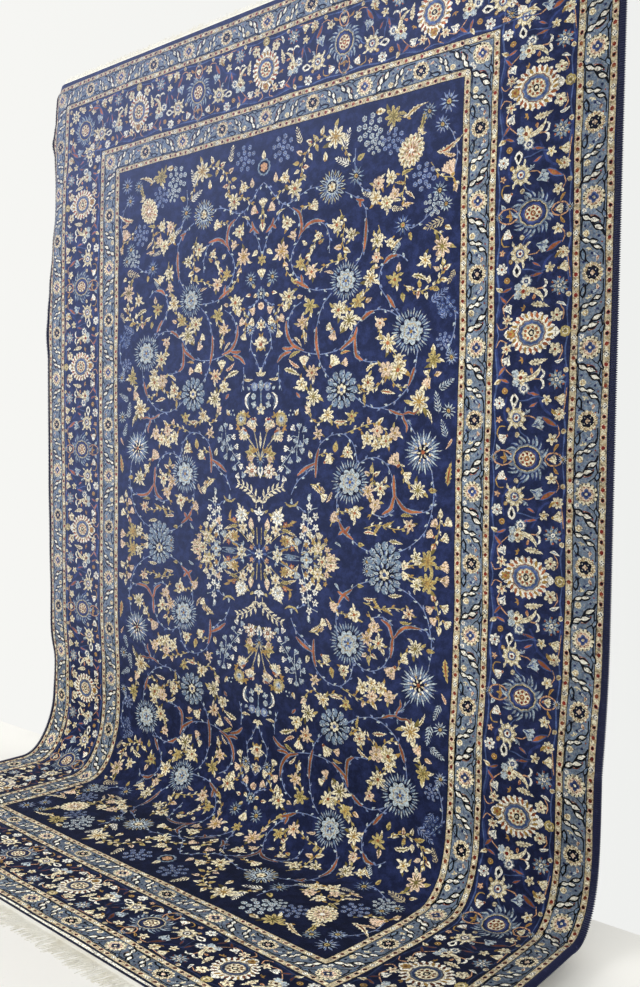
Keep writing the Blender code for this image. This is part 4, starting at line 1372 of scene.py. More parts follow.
def draw_field(shapes, chance):
    """Draw the field, mirrored about its two middle lines."""
    left_share = (MIDDLE_U - BORDER) / (RUG_WIDTH - BORDER - MIDDLE_U)
    lower_share = (FIELD_BOTTOM - MIDDLE_V) / (MIDDLE_V - FIELD_TOP)
    origin = (MIDDLE_U, MIDDLE_V)
    for across in (-left_share, 1):
        for up in (-1, lower_share):
            quarter(Pen(shapes, chance, (across, 0), (0, up), origin))
    for up in (-1, lower_share):
        middle_column(Pen(shapes, chance, (1, 0), (0, up), origin))
    centre(Pen(shapes, chance, (1, 0), (0, -1), origin))


# ---- meshes

# Where the sheet's surface is cut even without a pattern: from, to, longest step
COLUMN_STEPS = (
    (SELVEDGE_WIDTH, CURL_RUN, 0.0072), (CURL_RUN, 0.3, 0.04), (0.3, RUG_WIDTH - SELVEDGE_WIDTH, 0.085),
)
ROW_STEPS = (
    (0, 0.35, 0.022), (0.35, 1.31, 0.045), (1.31, 2.4, 0.07), (2.4, 2.75, 0.025), (2.75, 3.07, 0.009),
    (3.07, RUG_LENGTH, 0.07),
)
# How near two corners are one, how little a corner may bend, and what a cut may lose or spill
MERGE = 1e-6
ON_EDGE = 2e-6
SPARED = 0.0010
TRIES = 8
HAIR = 1e-5
LOST_SHARE = 1e-5
SPILL = 1e-4
# The reverse keeps the shapes that are at least this wide, in plainer outlines
REVERSE_DETAIL = 0.042
REVERSE_SPARED = 0.0026
# The pile's stretches: from, to across the rug, then from, to down it
PILE_STRETCHES = {
    "pile_top_border": (SELVEDGE_WIDTH, RUG_WIDTH - SELVEDGE_WIDTH, 0.0, FIELD_TOP),
    "pile_bottom_border": (SELVEDGE_WIDTH, RUG_WIDTH - SELVEDGE_WIDTH, FIELD_BOTTOM, RUG_LENGTH),
    "pile_left_border": (SELVEDGE_WIDTH, BORDER, FIELD_TOP, FIELD_BOTTOM),
    "pile_right_border": (RUG_WIDTH - BORDER, RUG_WIDTH - SELVEDGE_WIDTH, FIELD_TOP, FIELD_BOTTOM),
    "pile_field_left": (BORDER, MIDDLE_U, FIELD_TOP, FIELD_BOTTOM),
    "pile_field_right": (MIDDLE_U, RUG_WIDTH - BORDER, FIELD_TOP, FIELD_BOTTOM),
}


def cuts(steps, low, high):
    """The places of even cuts between two places, both included."""
    found = [low]
    for start, end, step in steps:
        start, end = max(start, low), min(end, high)
        if end - start > MERGE:
            count = max(1, math.ceil((end - start) / step))
            found.extend(start + (end - start) * (index + 1) / count for index in range(count))
    if high - found[-1] > MERGE:
        found.append(high)
    return np.array(found)


def wandered(points):
    """Move points a little, as knots tied by hand never run quite straight."""
    u, v = points.T
    du = (0.0020 * np.sin(7.3 * v + 2.1 * u + 0.4) + 0.0009 * np.sin(23.0 * v + 5.0 * u)
          + 0.0009 * np.sin(310.0 * v + 90.0 * u) * np.sin(137.0 * u - 61.0 * v))
    dv = (0.0022 * np.sin(6.1 * u - 1.7 * v + 1.1) + 0.0010 * np.sin(19.0 * u + 8.0 * v)
          + 0.0009 * np.sin(290.0 * u - 110.0 * v + 2.0) * np.sin(151.0 * v + 47.0 * u))
    return points + np.column_stack([du, dv])


def spared(outline, least=SPARED):
    """Drop the corners that bend an outline by less than a distance."""
    for start in (0, 1, 0):
        before, after = np.roll(outline, 1, axis=0), np.roll(outline, -1, axis=0)
        chord, arm = after - before, outline - before
        bend = np.abs(chord[:, 0] * arm[:, 1] - chord[:, 1] * arm[:, 0])
        needed = bend > least * np.hypot(*chord.T)
        needed[start::2] = True
        if needed.sum() < 4:
            break
        outline = outline[needed]
    return outline


def outline_area(outline):
    """The area inside an outline."""
    u, v = outline.T
    return 0.5 * abs(np.dot(u, np.roll(v, -1)) - np.dot(v, np.roll(u, -1)))


def grid_cells(stretch):
    """The corners of a stretch's own grid, and the corners round each of its cells."""
    left, right, upper, lower = stretch
    columns = cuts(COLUMN_STEPS, left, right)
    rows = cuts(ROW_STEPS, upper, lower)
    wide = len(columns)
    cells = [(row * wide + column, row * wide + column + 1,
              (row + 1) * wide + column + 1, (row + 1) * wide + column)
             for row in range(len(rows) - 1) for column in range(wide - 1)]
    return np.array([(u, v) for v in rows for u in columns]), cells


def shapes_on(shapes, stretch):
    """The shapes that reach into a stretch, with their outlines turned the same way round."""
    left, right, upper, lower = stretch
    for outline, yarn, tone in shapes:
        low, high = outline.min(axis=0), outline.max(axis=0)
        if low[0] > right or high[0] < left or low[1] > lower or high[1] < upper:
            continue
        u, v = outline.T
        way = 1 if np.dot(u, np.roll(v, -1)) >= np.dot(v, np.roll(u, -1)) else -1
        yield outline[::way], yarn, tone


def cut_by_shapes(shapes, stretch):
    """Cut a stretch of the flat rug into triangles of one yarn each.

    Returns the corners, the triangles, and the colour of each triangle.
    """
    left, right, upper, lower = stretch
    grid, outlines = grid_cells(stretch)
    base = len(outlines)
    colours = [YARN_LIGHT["navy"]] * base
    points = [grid]
    count = len(grid)
    for outline, yarn, tone in shapes_on(shapes, stretch):
        points.append(outline)
        outlines.append(range(count, count + len(outline)))
        count += len(outline)
        colours.append(YARN_LIGHT[yarn] * tone)
    area = (right - left) * (lower - upper)
    drawn = np.concatenate(points)
    for seed in range(TRIES):
        # Outlines that all but meet can spoil a cut, and a hair's breadth of change cures it
        spread = np.random.default_rng(seed).normal(0.0, HAIR * seed, drawn.shape)
        spread[:len(grid)] = 0.0
        corners = [Vector(point) for point in (drawn + spread).tolist()]
        cut = delaunay_2d_cdt(corners, [], [list(outline) for outline in outlines], 1, MERGE, True)
        faces = [(face, max(owners)) for face, owners in zip(cut[2], cut[5])
                 if owners and min(owners) < base]
        triangles = np.array([face for face, _ in faces])
        flat = np.array([point[:] for point in cut[0]])
        sides = flat[triangles[:, 1:]] - flat[triangles[:, :1]]
        sizes = 0.5 * np.abs(np.linalg.det(sides))
        shown = np.bincount([owner for _, owner in faces], sizes, len(outlines))
        strays = sum(sum(owner < base for owner in owners) > 1 for owners in cut[5])
        spilt = (shown > [2.0 * outline_area(drawn[list(outline)]) + SPILL for outline in outlines])
        if abs(sizes.sum() - area) < LOST_SHARE * area and not strays and not spilt.any():
            break
    cells = np.array([min(owners) for owners in cut[5] if owners and min(owners) < base])
    _, looks = np.unique(np.round(np.array(colours), 6), axis=0, return_inverse=True)
    owners = np.array([owner for _, owner in faces])
    flat, triangles, chosen = without_hidden_cuts(flat, triangles, cells, looks.ravel()[owners])
    owner_colours = np.array(colours)[owners[chosen]]
    used, triangles = np.unique(triangles, return_inverse=True)
    return flat[used], triangles.reshape(-1, 3), owner_colours


def without_hidden_cuts(flat, triangles, cells, looks):
    """Cut again along only the edges that show: between two yarns, or on the grid.

    Returns the new corners and triangles and, for each triangle, an old one that it lies in.
    """
    edges = np.concatenate([triangles[:, [0, 1]], triangles[:, [1, 2]], triangles[:, [2, 0]]])
    owner = np.tile(np.arange(len(triangles)), 3)
    keys = edges.min(axis=1).astype(np.int64) * len(flat) + edges.max(axis=1)
    order = np.argsort(keys, kind="stable")
    keys, owner, edges = keys[order], owner[order], edges[order]
    first = np.flatnonzero(np.diff(keys, prepend=-1))
    uses = np.diff(np.append(first, len(keys)))
    here, there = owner[first], owner[np.minimum(first + 1, len(keys) - 1)]
    kept = (uses != 2) | (cells[here] != cells[there]) | (looks[here] != looks[there])
    used, lines = np.unique(edges[first[kept]], return_inverse=True)
    corners = [Vector(point) for point in flat[used].tolist()]
    cut = delaunay_2d_cdt(corners, lines.reshape(-1, 2).tolist(), [], 0, MERGE, False)
    points = np.array([point[:] for point in cut[0]])
    merged = np.array(cut[2])
    tree = BVHTree.FromPolygons([(u, v, 0.0) for u, v in flat], triangles.tolist())
    middles = points[merged].mean(axis=1)
    chosen = np.array([tree.find_nearest(Vector((u, v, 0.0)))[2] for u, v in middles])
    return points, merged, chosen


def rim_edges(triangles):
    """The edges of one triangle only, each running the way its triangle does."""
    edges = np.concatenate([triangles[:, [0, 1]], triangles[:, [1, 2]], triangles[:, [2, 0]]])
    keys = edges.min(axis=1) * (edges.max() + 1) + edges.max(axis=1)
    _, first, uses = np.unique(keys, return_index=True, return_counts=True)
    return edges[first[uses == 1]]


def walls_between(rim, rim_points, flat, other_flat, other_rim):
    """Triangles that join one face's rim to the other's."""
    gaps = other_flat[other_rim][None] - flat[rim_points][:, None]
    nearest = other_rim[np.argmin((gaps ** 2).sum(axis=2), axis=1)] + len(flat)
    partner = dict(zip(rim_points.tolist(), nearest.tolist()))
    walls = []
    for start, end in rim.tolist():
        walls.append((start, end, partner[end]))
        walls.append((start, partner[end], partner[start]))
    return np.array([wall for wall in walls if len(set(wall)) == 3])


def keep_yarns(mesh, places_on_rug, tint):
    """Store each corner's place on the flat rug and its yarn's colour in the mesh."""
    layer = mesh.uv_layers.new(name="flat")
    layer.data.foreach_set("uv", places_on_rug.astype(np.float32).ravel())
    yarn = mesh.color_attributes.new("yarn", "FLOAT_COLOR", "CORNER")
    corner_tint = np.column_stack([np.repeat(tint, 3, axis=0), np.ones(len(places_on_rug))])
    yarn.data.foreach_set("color", corner_tint.astype(np.float32).ravel())


def slab(name, stretch, low, high, finish, shapes=(), pattern_below=False):
    """Make a closed sheet of the rug between two rises, patterned on one of its faces."""
    flat, triangles, colours = cut_by_shapes(shapes, stretch)
    rim = rim_edges(triangles)
    rim_points = np.unique(rim)
    # The other face is cut only by the sheet's own grid, and joins the patterned one at the rim
    other_flat, other_triangles = plain_cut(stretch, flat[rim_points])
    walls = walls_between(rim, rim_points, flat, other_flat, np.unique(rim_edges(other_triangles)))
    u, v = np.concatenate([flat, other_flat]).T
    patterned_rise, other_rise = (low, high) if pattern_below else (high, low)
    rise = np.repeat([patterned_rise, other_rise], [len(flat), len(other_flat)])
    faces = np.concatenate([triangles, (other_triangles + len(flat))[:, ::-1], walls[:, ::-1]])
    if not pattern_below:
        faces = faces[:, ::-1]
    plain = np.tile(YARN_LIGHT["navy"], (len(other_triangles) + len(walls), 1))
    spots = places(u, v, rise)
    result = mesh_object(name, spots, faces, finish)
    corners = faces.ravel()
    keep_yarns(result.data, np.column_stack([u, v])[corners], np.concatenate([colours, plain]))
    # The two faces shine as the rug's own surface does, and the walls as they lie
    facing = outward(u, v)[corners]
    facing *= np.where(np.arange(len(faces)) < len(triangles), 1.0, -1.0).repeat(3)[:, None]
    if pattern_below:
        facing *= -1.0
    first, second, third = spots[faces[-len(walls):]].transpose(1, 0, 2)
    across = np.cross(second - first, third - first)
    across /= np.maximum(np.linalg.norm(across, axis=1), 1e-12)[:, None]
    facing[-3 * len(walls):] = np.repeat(across, 3, axis=0)
    result.data.normals_split_custom_set(facing.tolist())
    return result


def plain_cut(stretch, rim_points):
    """Cut a stretch of the flat rug by its grid, with extra corners on its rim."""
    left, right, upper, lower = stretch
    columns = cuts(COLUMN_STEPS, left, right)
    rows = cuts(ROW_STEPS, upper, lower)
    wide = len(columns)
    points = [(u, v) for v in rows for u in columns]
    triangles = []

    def extras(across, places_along, start, end, edge):
        """The rim's own corners between two corners of the grid, counted into the points."""
        on_edge = rim_points[np.abs(rim_points[:, across] - edge) < ON_EDGE][:, 1 - across]
        low, high = sorted((places_along[start], places_along[end]))
        between = np.sort(on_edge[(on_edge > low + ON_EDGE) & (on_edge < high - ON_EDGE)])
        if end < start:
            between = between[::-1]
        first = len(points)
        points.extend((place, edge) if across else (edge, place) for place in between.tolist())
        return list(range(first, len(points)))

    for row in range(len(rows) - 1):
        for column in range(wide - 1):
            ring = [row * wide + column]
            if row == 0:
                ring += extras(1, columns, column, column + 1, upper)
            ring.append(row * wide + column + 1)
            if column == wide - 2:
                ring += extras(0, rows, row, row + 1, right)
            ring.append((row + 1) * wide + column + 1)
            if row == len(rows) - 2:
                ring += extras(1, columns, column + 1, column, lower)
            ring.append((row + 1) * wide + column)
            if column == 0:
                ring += extras(0, rows, row + 1, row, left)
            if len(ring) == 4:
                triangles += [(ring[0], ring[1], ring[2]), (ring[0], ring[2], ring[3])]
            else:
                middle = len(points)
                points.append(((columns[column] + columns[column + 1]) / 2,
                               (rows[row] + rows[row + 1]) / 2))
                triangles += [(ring[index - 1], ring[index], middle) for index in range(len(ring))]
    return np.array(points), np.array(triangles)


def placed(name, data):
    """Put a new object in the scene."""
    result = bpy.data.objects.new(name, data)
    bpy.context.scene.collection.objects.link(result)
    return result


def mesh_object(name, points, faces, finish):
    """Make an object from corners and triangles."""
    mesh = bpy.data.meshes.new(name)
    mesh.vertices.add(len(points))
    mesh.vertices.foreach_set("co", np.asarray(points, np.float32).ravel())
    mesh.loops.add(3 * len(faces))
    mesh.loops.foreach_set("vertex_index", np.asarray(faces, np.int32).ravel())
    mesh.polygons.add(len(faces))
    mesh.polygons.foreach_set("loop_start", np.arange(len(faces), dtype=np.int32) * 3)
    mesh.update(calc_edges=True)
    mesh.shade_smooth()
    mesh.materials.append(finish)
    return placed(name, mesh)


def polyline(name, points, **attributes):
    """Make an object of edges through points, with vectors stored at the points."""
    mesh = bpy.data.meshes.new(name)
    edges = [(index, index + 1) for index in range(len(points) - 1)]
    mesh.from_pydata(np.asarray(points).tolist(), edges, [])
    for label, values in attributes.items():
        stored = mesh.attributes.new(label, "FLOAT_VECTOR", "POINT")
        stored.data.foreach_set("vector", np.asarray(values, np.float32).ravel())
    return placed(name, mesh)


# ---- geometry nodes


class Nodes:
    """A node tree, with the one way in which nodes are added to it."""

    def __init__(self, tree):
        self.tree = tree

    def node(self, kind, settings=None, inputs=None):
        """Add a node: its settings first, then the values or links of its sockets."""
        made = self.tree.nodes.new(kind)
        for label, value in (settings or {}).items():
            setattr(made, label, value)
        for label, value in (inputs or {}).items():
            self.give(made.inputs[label], value)
        return made

    def give(self, socket, value):
        """Link a value to a socket, or set it."""
        value = value.socket if isinstance(value, Value) else value
        if isinstance(value, bpy.types.NodeSocket):
            self.tree.links.new(value, socket)
        else:
            socket.default_value = value

    def out(self, kind, settings=None, inputs=None, output=0):
        """Add a node and return one of its outputs."""
        return self.node(kind, settings, inputs).outputs[output]


class Tree(Nodes):
    """A Geometry Nodes group that turns a line into a piece of the rug."""

    def __init__(self, name, sizes):
        super().__init__(bpy.data.node_groups.new(name, "GeometryNodeTree"))
        sockets = self.tree.interface
        sockets.new_socket("Geometry", in_out="INPUT", socket_type="NodeSocketGeometry")
        kinds = {float: "NodeSocketFloat", int: "NodeSocketInt", tuple: "NodeSocketVector"}
        self.identifiers = {}
        for label, value in sizes.items():
            socket = sockets.new_socket(label, in_out="INPUT", socket_type=kinds[type(value)])
            socket.default_value = value
            self.identifiers[label] = socket.identifier
        sockets.new_socket("Geometry", in_out="OUTPUT", socket_type="NodeSocketGeometry")
        self.given = self.node("NodeGroupInput").outputs

    def math(self, operation, first, second):
        """Add a Math node."""
        return self.out("ShaderNodeMath", {"operation": operation}, {0: first, 1: second})

    def scaled(self, vector, scale):
        """Scale a vector."""
        return self.out("ShaderNodeVectorMath", {"operation": "SCALE"}, {0: vector, "Scale": scale})

    def finish(self, geometry, finish):
        """End the group in plain meshes that wear a material."""
        real = self.out("GeometryNodeRealizeInstances", None, {"Geometry": geometry})
        smooth = self.out("GeometryNodeSetShadeSmooth", None, {0: real, "Shade Smooth": True})
        worn = self.out("GeometryNodeSetMaterial", None, {"Geometry": smooth, "Material": finish})
        self.node("NodeGroupOutput", None, {0: worn})

    def run(self, source, name, sizes, finish):
        """Run the group on an object and return what it makes as a plain mesh object."""
        modifier = source.modifiers.new(name, "NODES")
        modifier.node_group = self.tree
        for label, value in sizes.items():
            modifier[self.identifiers[label]] = value
        depsgraph = bpy.context.evaluated_depsgraph_get()
        mesh = bpy.data.meshes.new_from_object(source.evaluated_get(depsgraph), depsgraph=depsgraph)
        mesh.name = name
        if not mesh.materials:
            mesh.materials.append(finish)
        line = source.data
        bpy.data.objects.remove(source)
        bpy.data.meshes.remove(line)
        return placed(name, mesh)


def strands_tree(finish):
    """Loose warp ends along a line: each a thin round strand that wavers to its tip."""
    sizes = {"Strands": 600, "Length": 0.07, "Thickness": 0.0014, "Direction": (0.0, -1.0, 0.0),
             "Spread": 0.2, "Waviness": 0.004, "Flatness": 1.0, "Seed": 1}
    tree = Tree("fringe_strands", sizes)
    given = tree.given
    line = tree.out("GeometryNodeMeshToCurve", None, {"Mesh": given["Geometry"]})
    roots = tree.out("GeometryNodeResampleCurve", {"mode": "COUNT"},
                     {"Curve": line, "Count": given["Strands"]})
    tip = tree.scaled(given["Direction"], given["Length"])
    strand = tree.out("GeometryNodeCurvePrimitiveLine", {"mode": "POINTS"},
                      {"Start": (0.0, 0.0, 0.0), "End": tip})
    strand = tree.out("GeometryNodeResampleCurve", {"mode": "COUNT"}, {"Curve": strand, "Count": 6})
    turn_limit = tree.math("MULTIPLY", given["Spread"], -1.0)
    turns = tree.out("ShaderNodeCombineXYZ", None,
                     {"Z": tree.out("FunctionNodeRandomValue", {"data_type": "FLOAT"},
                                    {2: turn_limit, 3: given["Spread"], "Seed": given["Seed"]}, 1)})
    lengths = tree.out("FunctionNodeRandomValue", {"data_type": "FLOAT"},
                       {2: 0.62, 3: 1.0, "Seed": tree.math("ADD", given["Seed"], 7)}, 1)
    strewn = tree.out("GeometryNodeInstanceOnPoints", None,
                      {"Points": roots, "Instance": strand, "Rotation": turns, "Scale": lengths})
    strewn = tree.out("GeometryNodeRealizeInstances", None, {"Geometry": strewn})
    share = tree.out("GeometryNodeSplineParameter")
    place = tree.out("GeometryNodeInputPosition")
    drift = tree.out("ShaderNodeTexNoise", {"noise_dimensions": "4D"},
                     {"Vector": place, "W": tree.math("MULTIPLY", given["Seed"], 3.7), "Scale": 42.0,
                      "Detail": 1.0}, 1)
    drift = tree.out("ShaderNodeVectorMath", {"operation": "SUBTRACT"},
                     {0: drift, 1: (0.5, 0.5, 0.5)})
    level = tree.out("ShaderNodeCombineXYZ", None, {"X": 1.0, "Y": 1.0, "Z": given["Flatness"]})
    drift = tree.out("ShaderNodeVectorMath", {"operation": "MULTIPLY"}, {0: drift, 1: level})
    reach = tree.math("MULTIPLY", tree.math("POWER", share, 0.7), given["Waviness"])
    wavy = tree.out("GeometryNodeSetPosition", None,
                    {"Geometry": strewn, "Offset": tree.scaled(drift, reach)})
    thin = tree.math("SUBTRACT", 1.0, tree.math("MULTIPLY", tree.math("POWER", share, 3.0), 0.55))
    wavy = tree.out("GeometryNodeSetCurveRadius", None, {"Curve": wavy, "Radius": thin})
    round_section = tree.out("GeometryNodeCurvePrimitiveCircle", None,
                             {"Resolution": 3, "Radius": tree.math("MULTIPLY", given["Thickness"], 0.5)})
    body = tree.node("GeometryNodeCurveToMesh", None,
                     {"Curve": wavy, "Profile Curve": round_section, "Fill Caps": True})
    if "Scale" in body.inputs:
        tree.give(body.inputs["Scale"], thin)
    tree.finish(body.outputs[0], finish)
    return tree


def wraps_tree(finish):
    """Yarn wound over an edge: slanted oval turns, close beside each other along a line."""
    sizes = {"Pitch": 0.0062, "Yarn": 0.0036, "Width": 0.0088, "Height": 0.0060, "Slant": 0.2}
    tree = Tree("overcast_turns", sizes)
    given = tree.given
    line = tree.out("GeometryNodeMeshToCurve", None, {"Mesh": given["Geometry"]})
    spots = tree.out("GeometryNodeResampleCurve", {"mode": "LENGTH"},
                     {"Curve": line, "Length": given["Pitch"]})
    ring = tree.out("GeometryNodeCurvePrimitiveCircle", None, {"Resolution": 8, "Radius": 1.0})
    oval_size = tree.out("ShaderNodeCombineXYZ", None,
                         {"X": given["Width"], "Y": given["Height"], "Z": 1.0})
    ring = tree.out("GeometryNodeTransform", None, {"Geometry": ring, "Scale": oval_size})
    yarn = tree.out("GeometryNodeCurvePrimitiveCircle", None,
                    {"Resolution": 3, "Radius": given["Yarn"]})
    turn = tree.out("GeometryNodeCurveToMesh", None, {"Curve": ring, "Profile Curve": yarn})
    turn = tree.out("GeometryNodeTransform", None,
                    {"Geometry": turn, "Rotation": tree.out("ShaderNodeCombineXYZ", None,
                                                            {"X": given["Slant"]})})
    tangent = tree.out("GeometryNodeInputTangent")
    across = tree.out("GeometryNodeInputNamedAttribute", {"data_type": "FLOAT_VECTOR"},
                      {"Name": "across"})
    facing = tree.out("FunctionNodeAlignRotationToVector", {"axis": "Z"}, {"Vector": tangent})
    facing = tree.out("FunctionNodeAlignRotationToVector", {"axis": "X", "pivot_axis": "Z"},
                      {"Rotation": facing, "Vector": across})
    wound = tree.out("GeometryNodeInstanceOnPoints", None,
                     {"Points": spots, "Instance": turn, "Rotation": facing})
    tree.finish(wound, finish)
    return tree


# ---- materials


def linear(level):
    """Turn a display level from 0 to 255 into light."""
    share = level / 255.0
    return share / 12.92 if share <= 0.04045 else ((share + 0.055) / 1.055) ** 2.4


YARN_LIGHT = {name: np.array([linear(level) for level in levels]) for name, levels in YARNS.items()}


class Value:
    """A number that varies over a surface. Sums and products of values add their own nodes."""

    def __init__(self, paint, socket):
        self.paint = paint
        self.socket = socket

    def join(self, operation, first, second):
        return Value(self.paint, self.paint.out("ShaderNodeMath", {"operation": operation},
                                                {0: first, 1: second}))

    def __add__(self, other):
        return self.join("ADD", self, other)

    def __radd__(self, other):
        return self.join("ADD", other, self)

    def __sub__(self, other):
        return self.join("SUBTRACT", self, other)

    def __rsub__(self, other):
        return self.join("SUBTRACT", other, self)

    def __mul__(self, other):
        return self.join("MULTIPLY", self, other)

    def __rmul__(self, other):
        return self.join("MULTIPLY", other, self)

    def __pow__(self, other):
        return self.join("POWER", self, other)

    def held(self, low, high):
        """The share of the way from low to high, eased and held between 0 and 1."""
        return Value(self.paint, self.paint.out(
            "ShaderNodeMapRange", {"interpolation_type": "SMOOTHSTEP"},
            {"Value": self, "From Min": low, "From Max": high}, "Result"))


class Paint(Nodes):
    """A material's nodes."""

    def __init__(self, name, **constants):
        self.material = bpy.data.materials.new(name)
        self.material.use_nodes = True
        super().__init__(self.material.node_tree)
        self.shader = self.tree.nodes["Principled BSDF"]
        for label, value in constants.items():
            self.shader.inputs[label.replace("_", " ")].default_value = value

    def place(self):
        """Places on the piece, as its object has them."""
        return self.out("ShaderNodeTexCoord", output="Object")

    def woven(self):
        """Places on the flat rug, and the colours of the yarns."""
        return (self.out("ShaderNodeUVMap", {"uv_map": "flat"}),
                self.out("ShaderNodeAttribute", {"attribute_name": "yarn"}, output="Color"))

    def finish(self, colour, roughness, height, distance, strength):
        """Give the shader its colour, its roughness and a relief of a height in metres."""
        bump = self.out("ShaderNodeBump", None,
                        {"Height": height, "Distance": distance, "Strength": strength})
        for label, value in (("Base Color", colour), ("Roughness", roughness), ("Normal", bump)):
            self.give(self.shader.inputs[label], value)
        return self.material

    def noise(self, vector, scale, detail=2.0, roughness=0.5):
        """Cloudy values between 0 and 1."""
        return Value(self, self.out("ShaderNodeTexNoise", None, {
            "Vector": vector, "Scale": scale, "Detail": detail, "Roughness": roughness}))

    def knots(self, vector, size):
        """A level for each knot, between 0 and 1."""
        snapped = self.out("ShaderNodeVectorMath", {"operation": "SNAP"},
                           {0: vector, 1: (size, size, size)})
        return Value(self, self.out("ShaderNodeTexWhiteNoise", {"noise_dimensions": "2D"},
                                    {"Vector": snapped}, "Value"))

    def stretched(self, vector, scale):
        """A vector with each part scaled."""
        return self.out("ShaderNodeVectorMath", {"operation": "MULTIPLY"}, {0: vector, 1: scale})

    def parts(self, vector):
        """The three parts of a vector."""
        made = self.node("ShaderNodeSeparateXYZ", None, {0: vector})
        return [Value(self, output) for output in made.outputs]

    def shaded(self, colour, shade):
        """A colour made lighter or darker by a value."""
        return self.out("ShaderNodeVectorMath", {"operation": "SCALE"}, {0: colour, "Scale": shade})

    def mixed(self, first, second, share):
        """Go from one colour to another by a share."""
        return self.out("ShaderNodeMix", {"data_type": "RGBA"}, {0: share, 6: first, 7: second}, 2)


def light(*levels):
    """A colour from display levels, with its alpha."""
    return (*(linear(level) for level in levels), 1.0)


KNOT = 0.0031
# The colour of the painted sheen that is mixed into the pile, most to the left and at the top
SHEEN_VEIL = (110, 120, 158)


def pile_finish():
    """Knotted wool: each yarn flecked and banded as hand-dyed wool is, with a painted pale sheen to the
    left and top, and painted shade low down, to the right and on the floor.
    """
    paint = Paint("knotted_wool", Sheen_Weight=0.07, Sheen_Roughness=0.45,
                  Sheen_Tint=light(170, 185, 240), Specular_IOR_Level=0.08)
    flat, yarn = paint.woven()
    across, down, _ = paint.parts(flat)
    red, green, blue = paint.parts(yarn)
    bands = paint.noise(paint.stretched(flat, (0.8, 9.0, 1.0)), 1.0, 3.0)
    clouds = paint.noise(flat, 4.5, 3.0)
    flecks = paint.noise(flat, 105.0, 3.0, 0.65)
    tufts = paint.noise(flat, 230.0, 2.0, 0.6)
    knots = paint.knots(flat, KNOT)
    # Light warm yarns go golden in places, light blue ones dark, and thin dark lines part both
    warm = (red - blue).held(0.04, 0.22) * flecks.held(0.49, 0.62)
    cool = (blue - red).held(0.03, 0.14) * flecks.held(0.46, 0.62)
    pale = green.held(0.10, 0.35)
    middle = paint.noise(flat, 84.0, 1.5) - 0.5
    lines = (1.0 - (middle * middle).held(0.0, 0.0016)) * pale
    yarn = paint.mixed(yarn, light(146, 116, 66), warm * 0.72)
    yarn = paint.mixed(yarn, light(44, 56, 100), cool * 0.50)
    threads = paint.noise(flat, 128.0, 2.0, 0.6).held(0.53, 0.63)
    yarn = paint.mixed(yarn, light(208, 196, 172), (blue - red).held(0.03, 0.10) * threads * pale * 0.55)
    yarn = paint.mixed(yarn, light(56, 52, 60), lines * 0.72)
    shade = 0.46 + 0.36 * bands + 0.30 * clouds + 0.28 * tufts + 0.34 * knots
    dark = 1.0 - pale
    # Painted shade and light: dark yarns darker from the lower hung part down, towards the right edge and
    # most on the floor, and pale yarns lighter on the floor
    floor = down.held(3.00, 3.15)
    shade = shade * (1.0 - 0.27 * down.held(2.30, 2.60) * dark) * (1.0 - 0.34 * across.held(2.00, 2.55))
    shade = shade * (1.0 - 0.50 * floor * dark) * (1.0 + (0.02 + 0.22 * floor) * pale)
    mottle = paint.noise(flat, 26.0, 4.0, 0.65).held(0.40, 0.66)
    shade = shade * (1.0 + (0.75 * mottle - 0.28) * dark)
    # Painted sheen: a pale bluish veil mixed into the colour, strongest to the left and at the top, gone on
    # the floor
    painted_sheen = (0.02 + 0.175 * across.held(2.30, 0.35)
            + 0.13 * down.held(0.95, 0.30) * across.held(2.45, 1.90)) \
        * (1.0 - 0.95 * down.held(2.15, 2.75))
    return paint.finish(paint.mixed(paint.shaded(yarn, shade), light(*SHEEN_VEIL), painted_sheen),
                        0.80 + 0.18 * tufts, 0.5 * tufts + 0.35 * knots + 0.6 * clouds, 0.0018, 0.6)


def reverse_finish():
    """The back of the knots: the same yarns, duller, in rows of small hard ribs."""
    paint = Paint("knotted_reverse", Specular_IOR_Level=0.15)
    flat, yarn = paint.woven()
    clouds = paint.noise(flat, 5.0, 3.0)
    knots = paint.noise(paint.stretched(flat, (240.0, 330.0, 1.0)), 1.0, 1.0)
    ribs = Value(paint, paint.out("ShaderNodeTexWave", {"bands_direction": "Y"}, {
        "Vector": flat, "Scale": 95.0, "Distortion": 0.4, "Detail": 1.0}, "Fac"))
    dull = paint.mixed(yarn, light(128, 122, 116), 0.22)
    return paint.finish(paint.shaded(dull, 0.50 + 0.35 * knots + 0.25 * clouds + 0.20 * ribs),
                        0.82 + 0.14 * knots, 0.6 * ribs + 0.5 * knots, 0.0007, 0.8)


def overcast_finish():
    """Dark navy wool wound tight over the edge, fuzzed pale where it has rubbed."""
    paint = Paint("overcast_wool", Sheen_Weight=0.25, Sheen_Roughness=0.4,
                  Sheen_Tint=light(170, 180, 215), Specular_IOR_Level=0.2)
    place = paint.place()
    clouds = paint.noise(place, 6.0, 3.0)
    fibres = paint.noise(paint.stretched(place, (900.0, 900.0, 260.0)), 1.0, 2.0)
    rubbed = paint.noise(place, 38.0, 4.0, 0.65).held(0.56, 0.74)
    worn = paint.mixed(light(26, 29, 60), light(62, 66, 102), rubbed * 0.55 + clouds * 0.15)
    return paint.finish(paint.shaded(worn, 0.70 + 0.55 * fibres), 0.74 + 0.20 * fibres,
                        fibres, 0.0004, 0.7)


def warp_finish():
    """Undyed cotton warp ends, greyed where they have been trodden."""
    paint = Paint("cotton_warp", Sheen_Weight=0.15, Specular_IOR_Level=0.2)
    place = paint.place()
    soil = paint.noise(place, 9.0, 4.0, 0.6).held(0.42, 0.72)
    strands = paint.noise(place, 190.0, 2.0)
    fibres = paint.noise(place, 1400.0, 1.0)
    cotton = paint.mixed(light(254, 252, 244), light(236, 230, 212), soil * 0.6 + strands * 0.3)
    return paint.finish(paint.shaded(cotton, 0.92 + 0.14 * fibres), 0.80 + 0.16 * fibres,
                        fibres, 0.0003, 0.6)


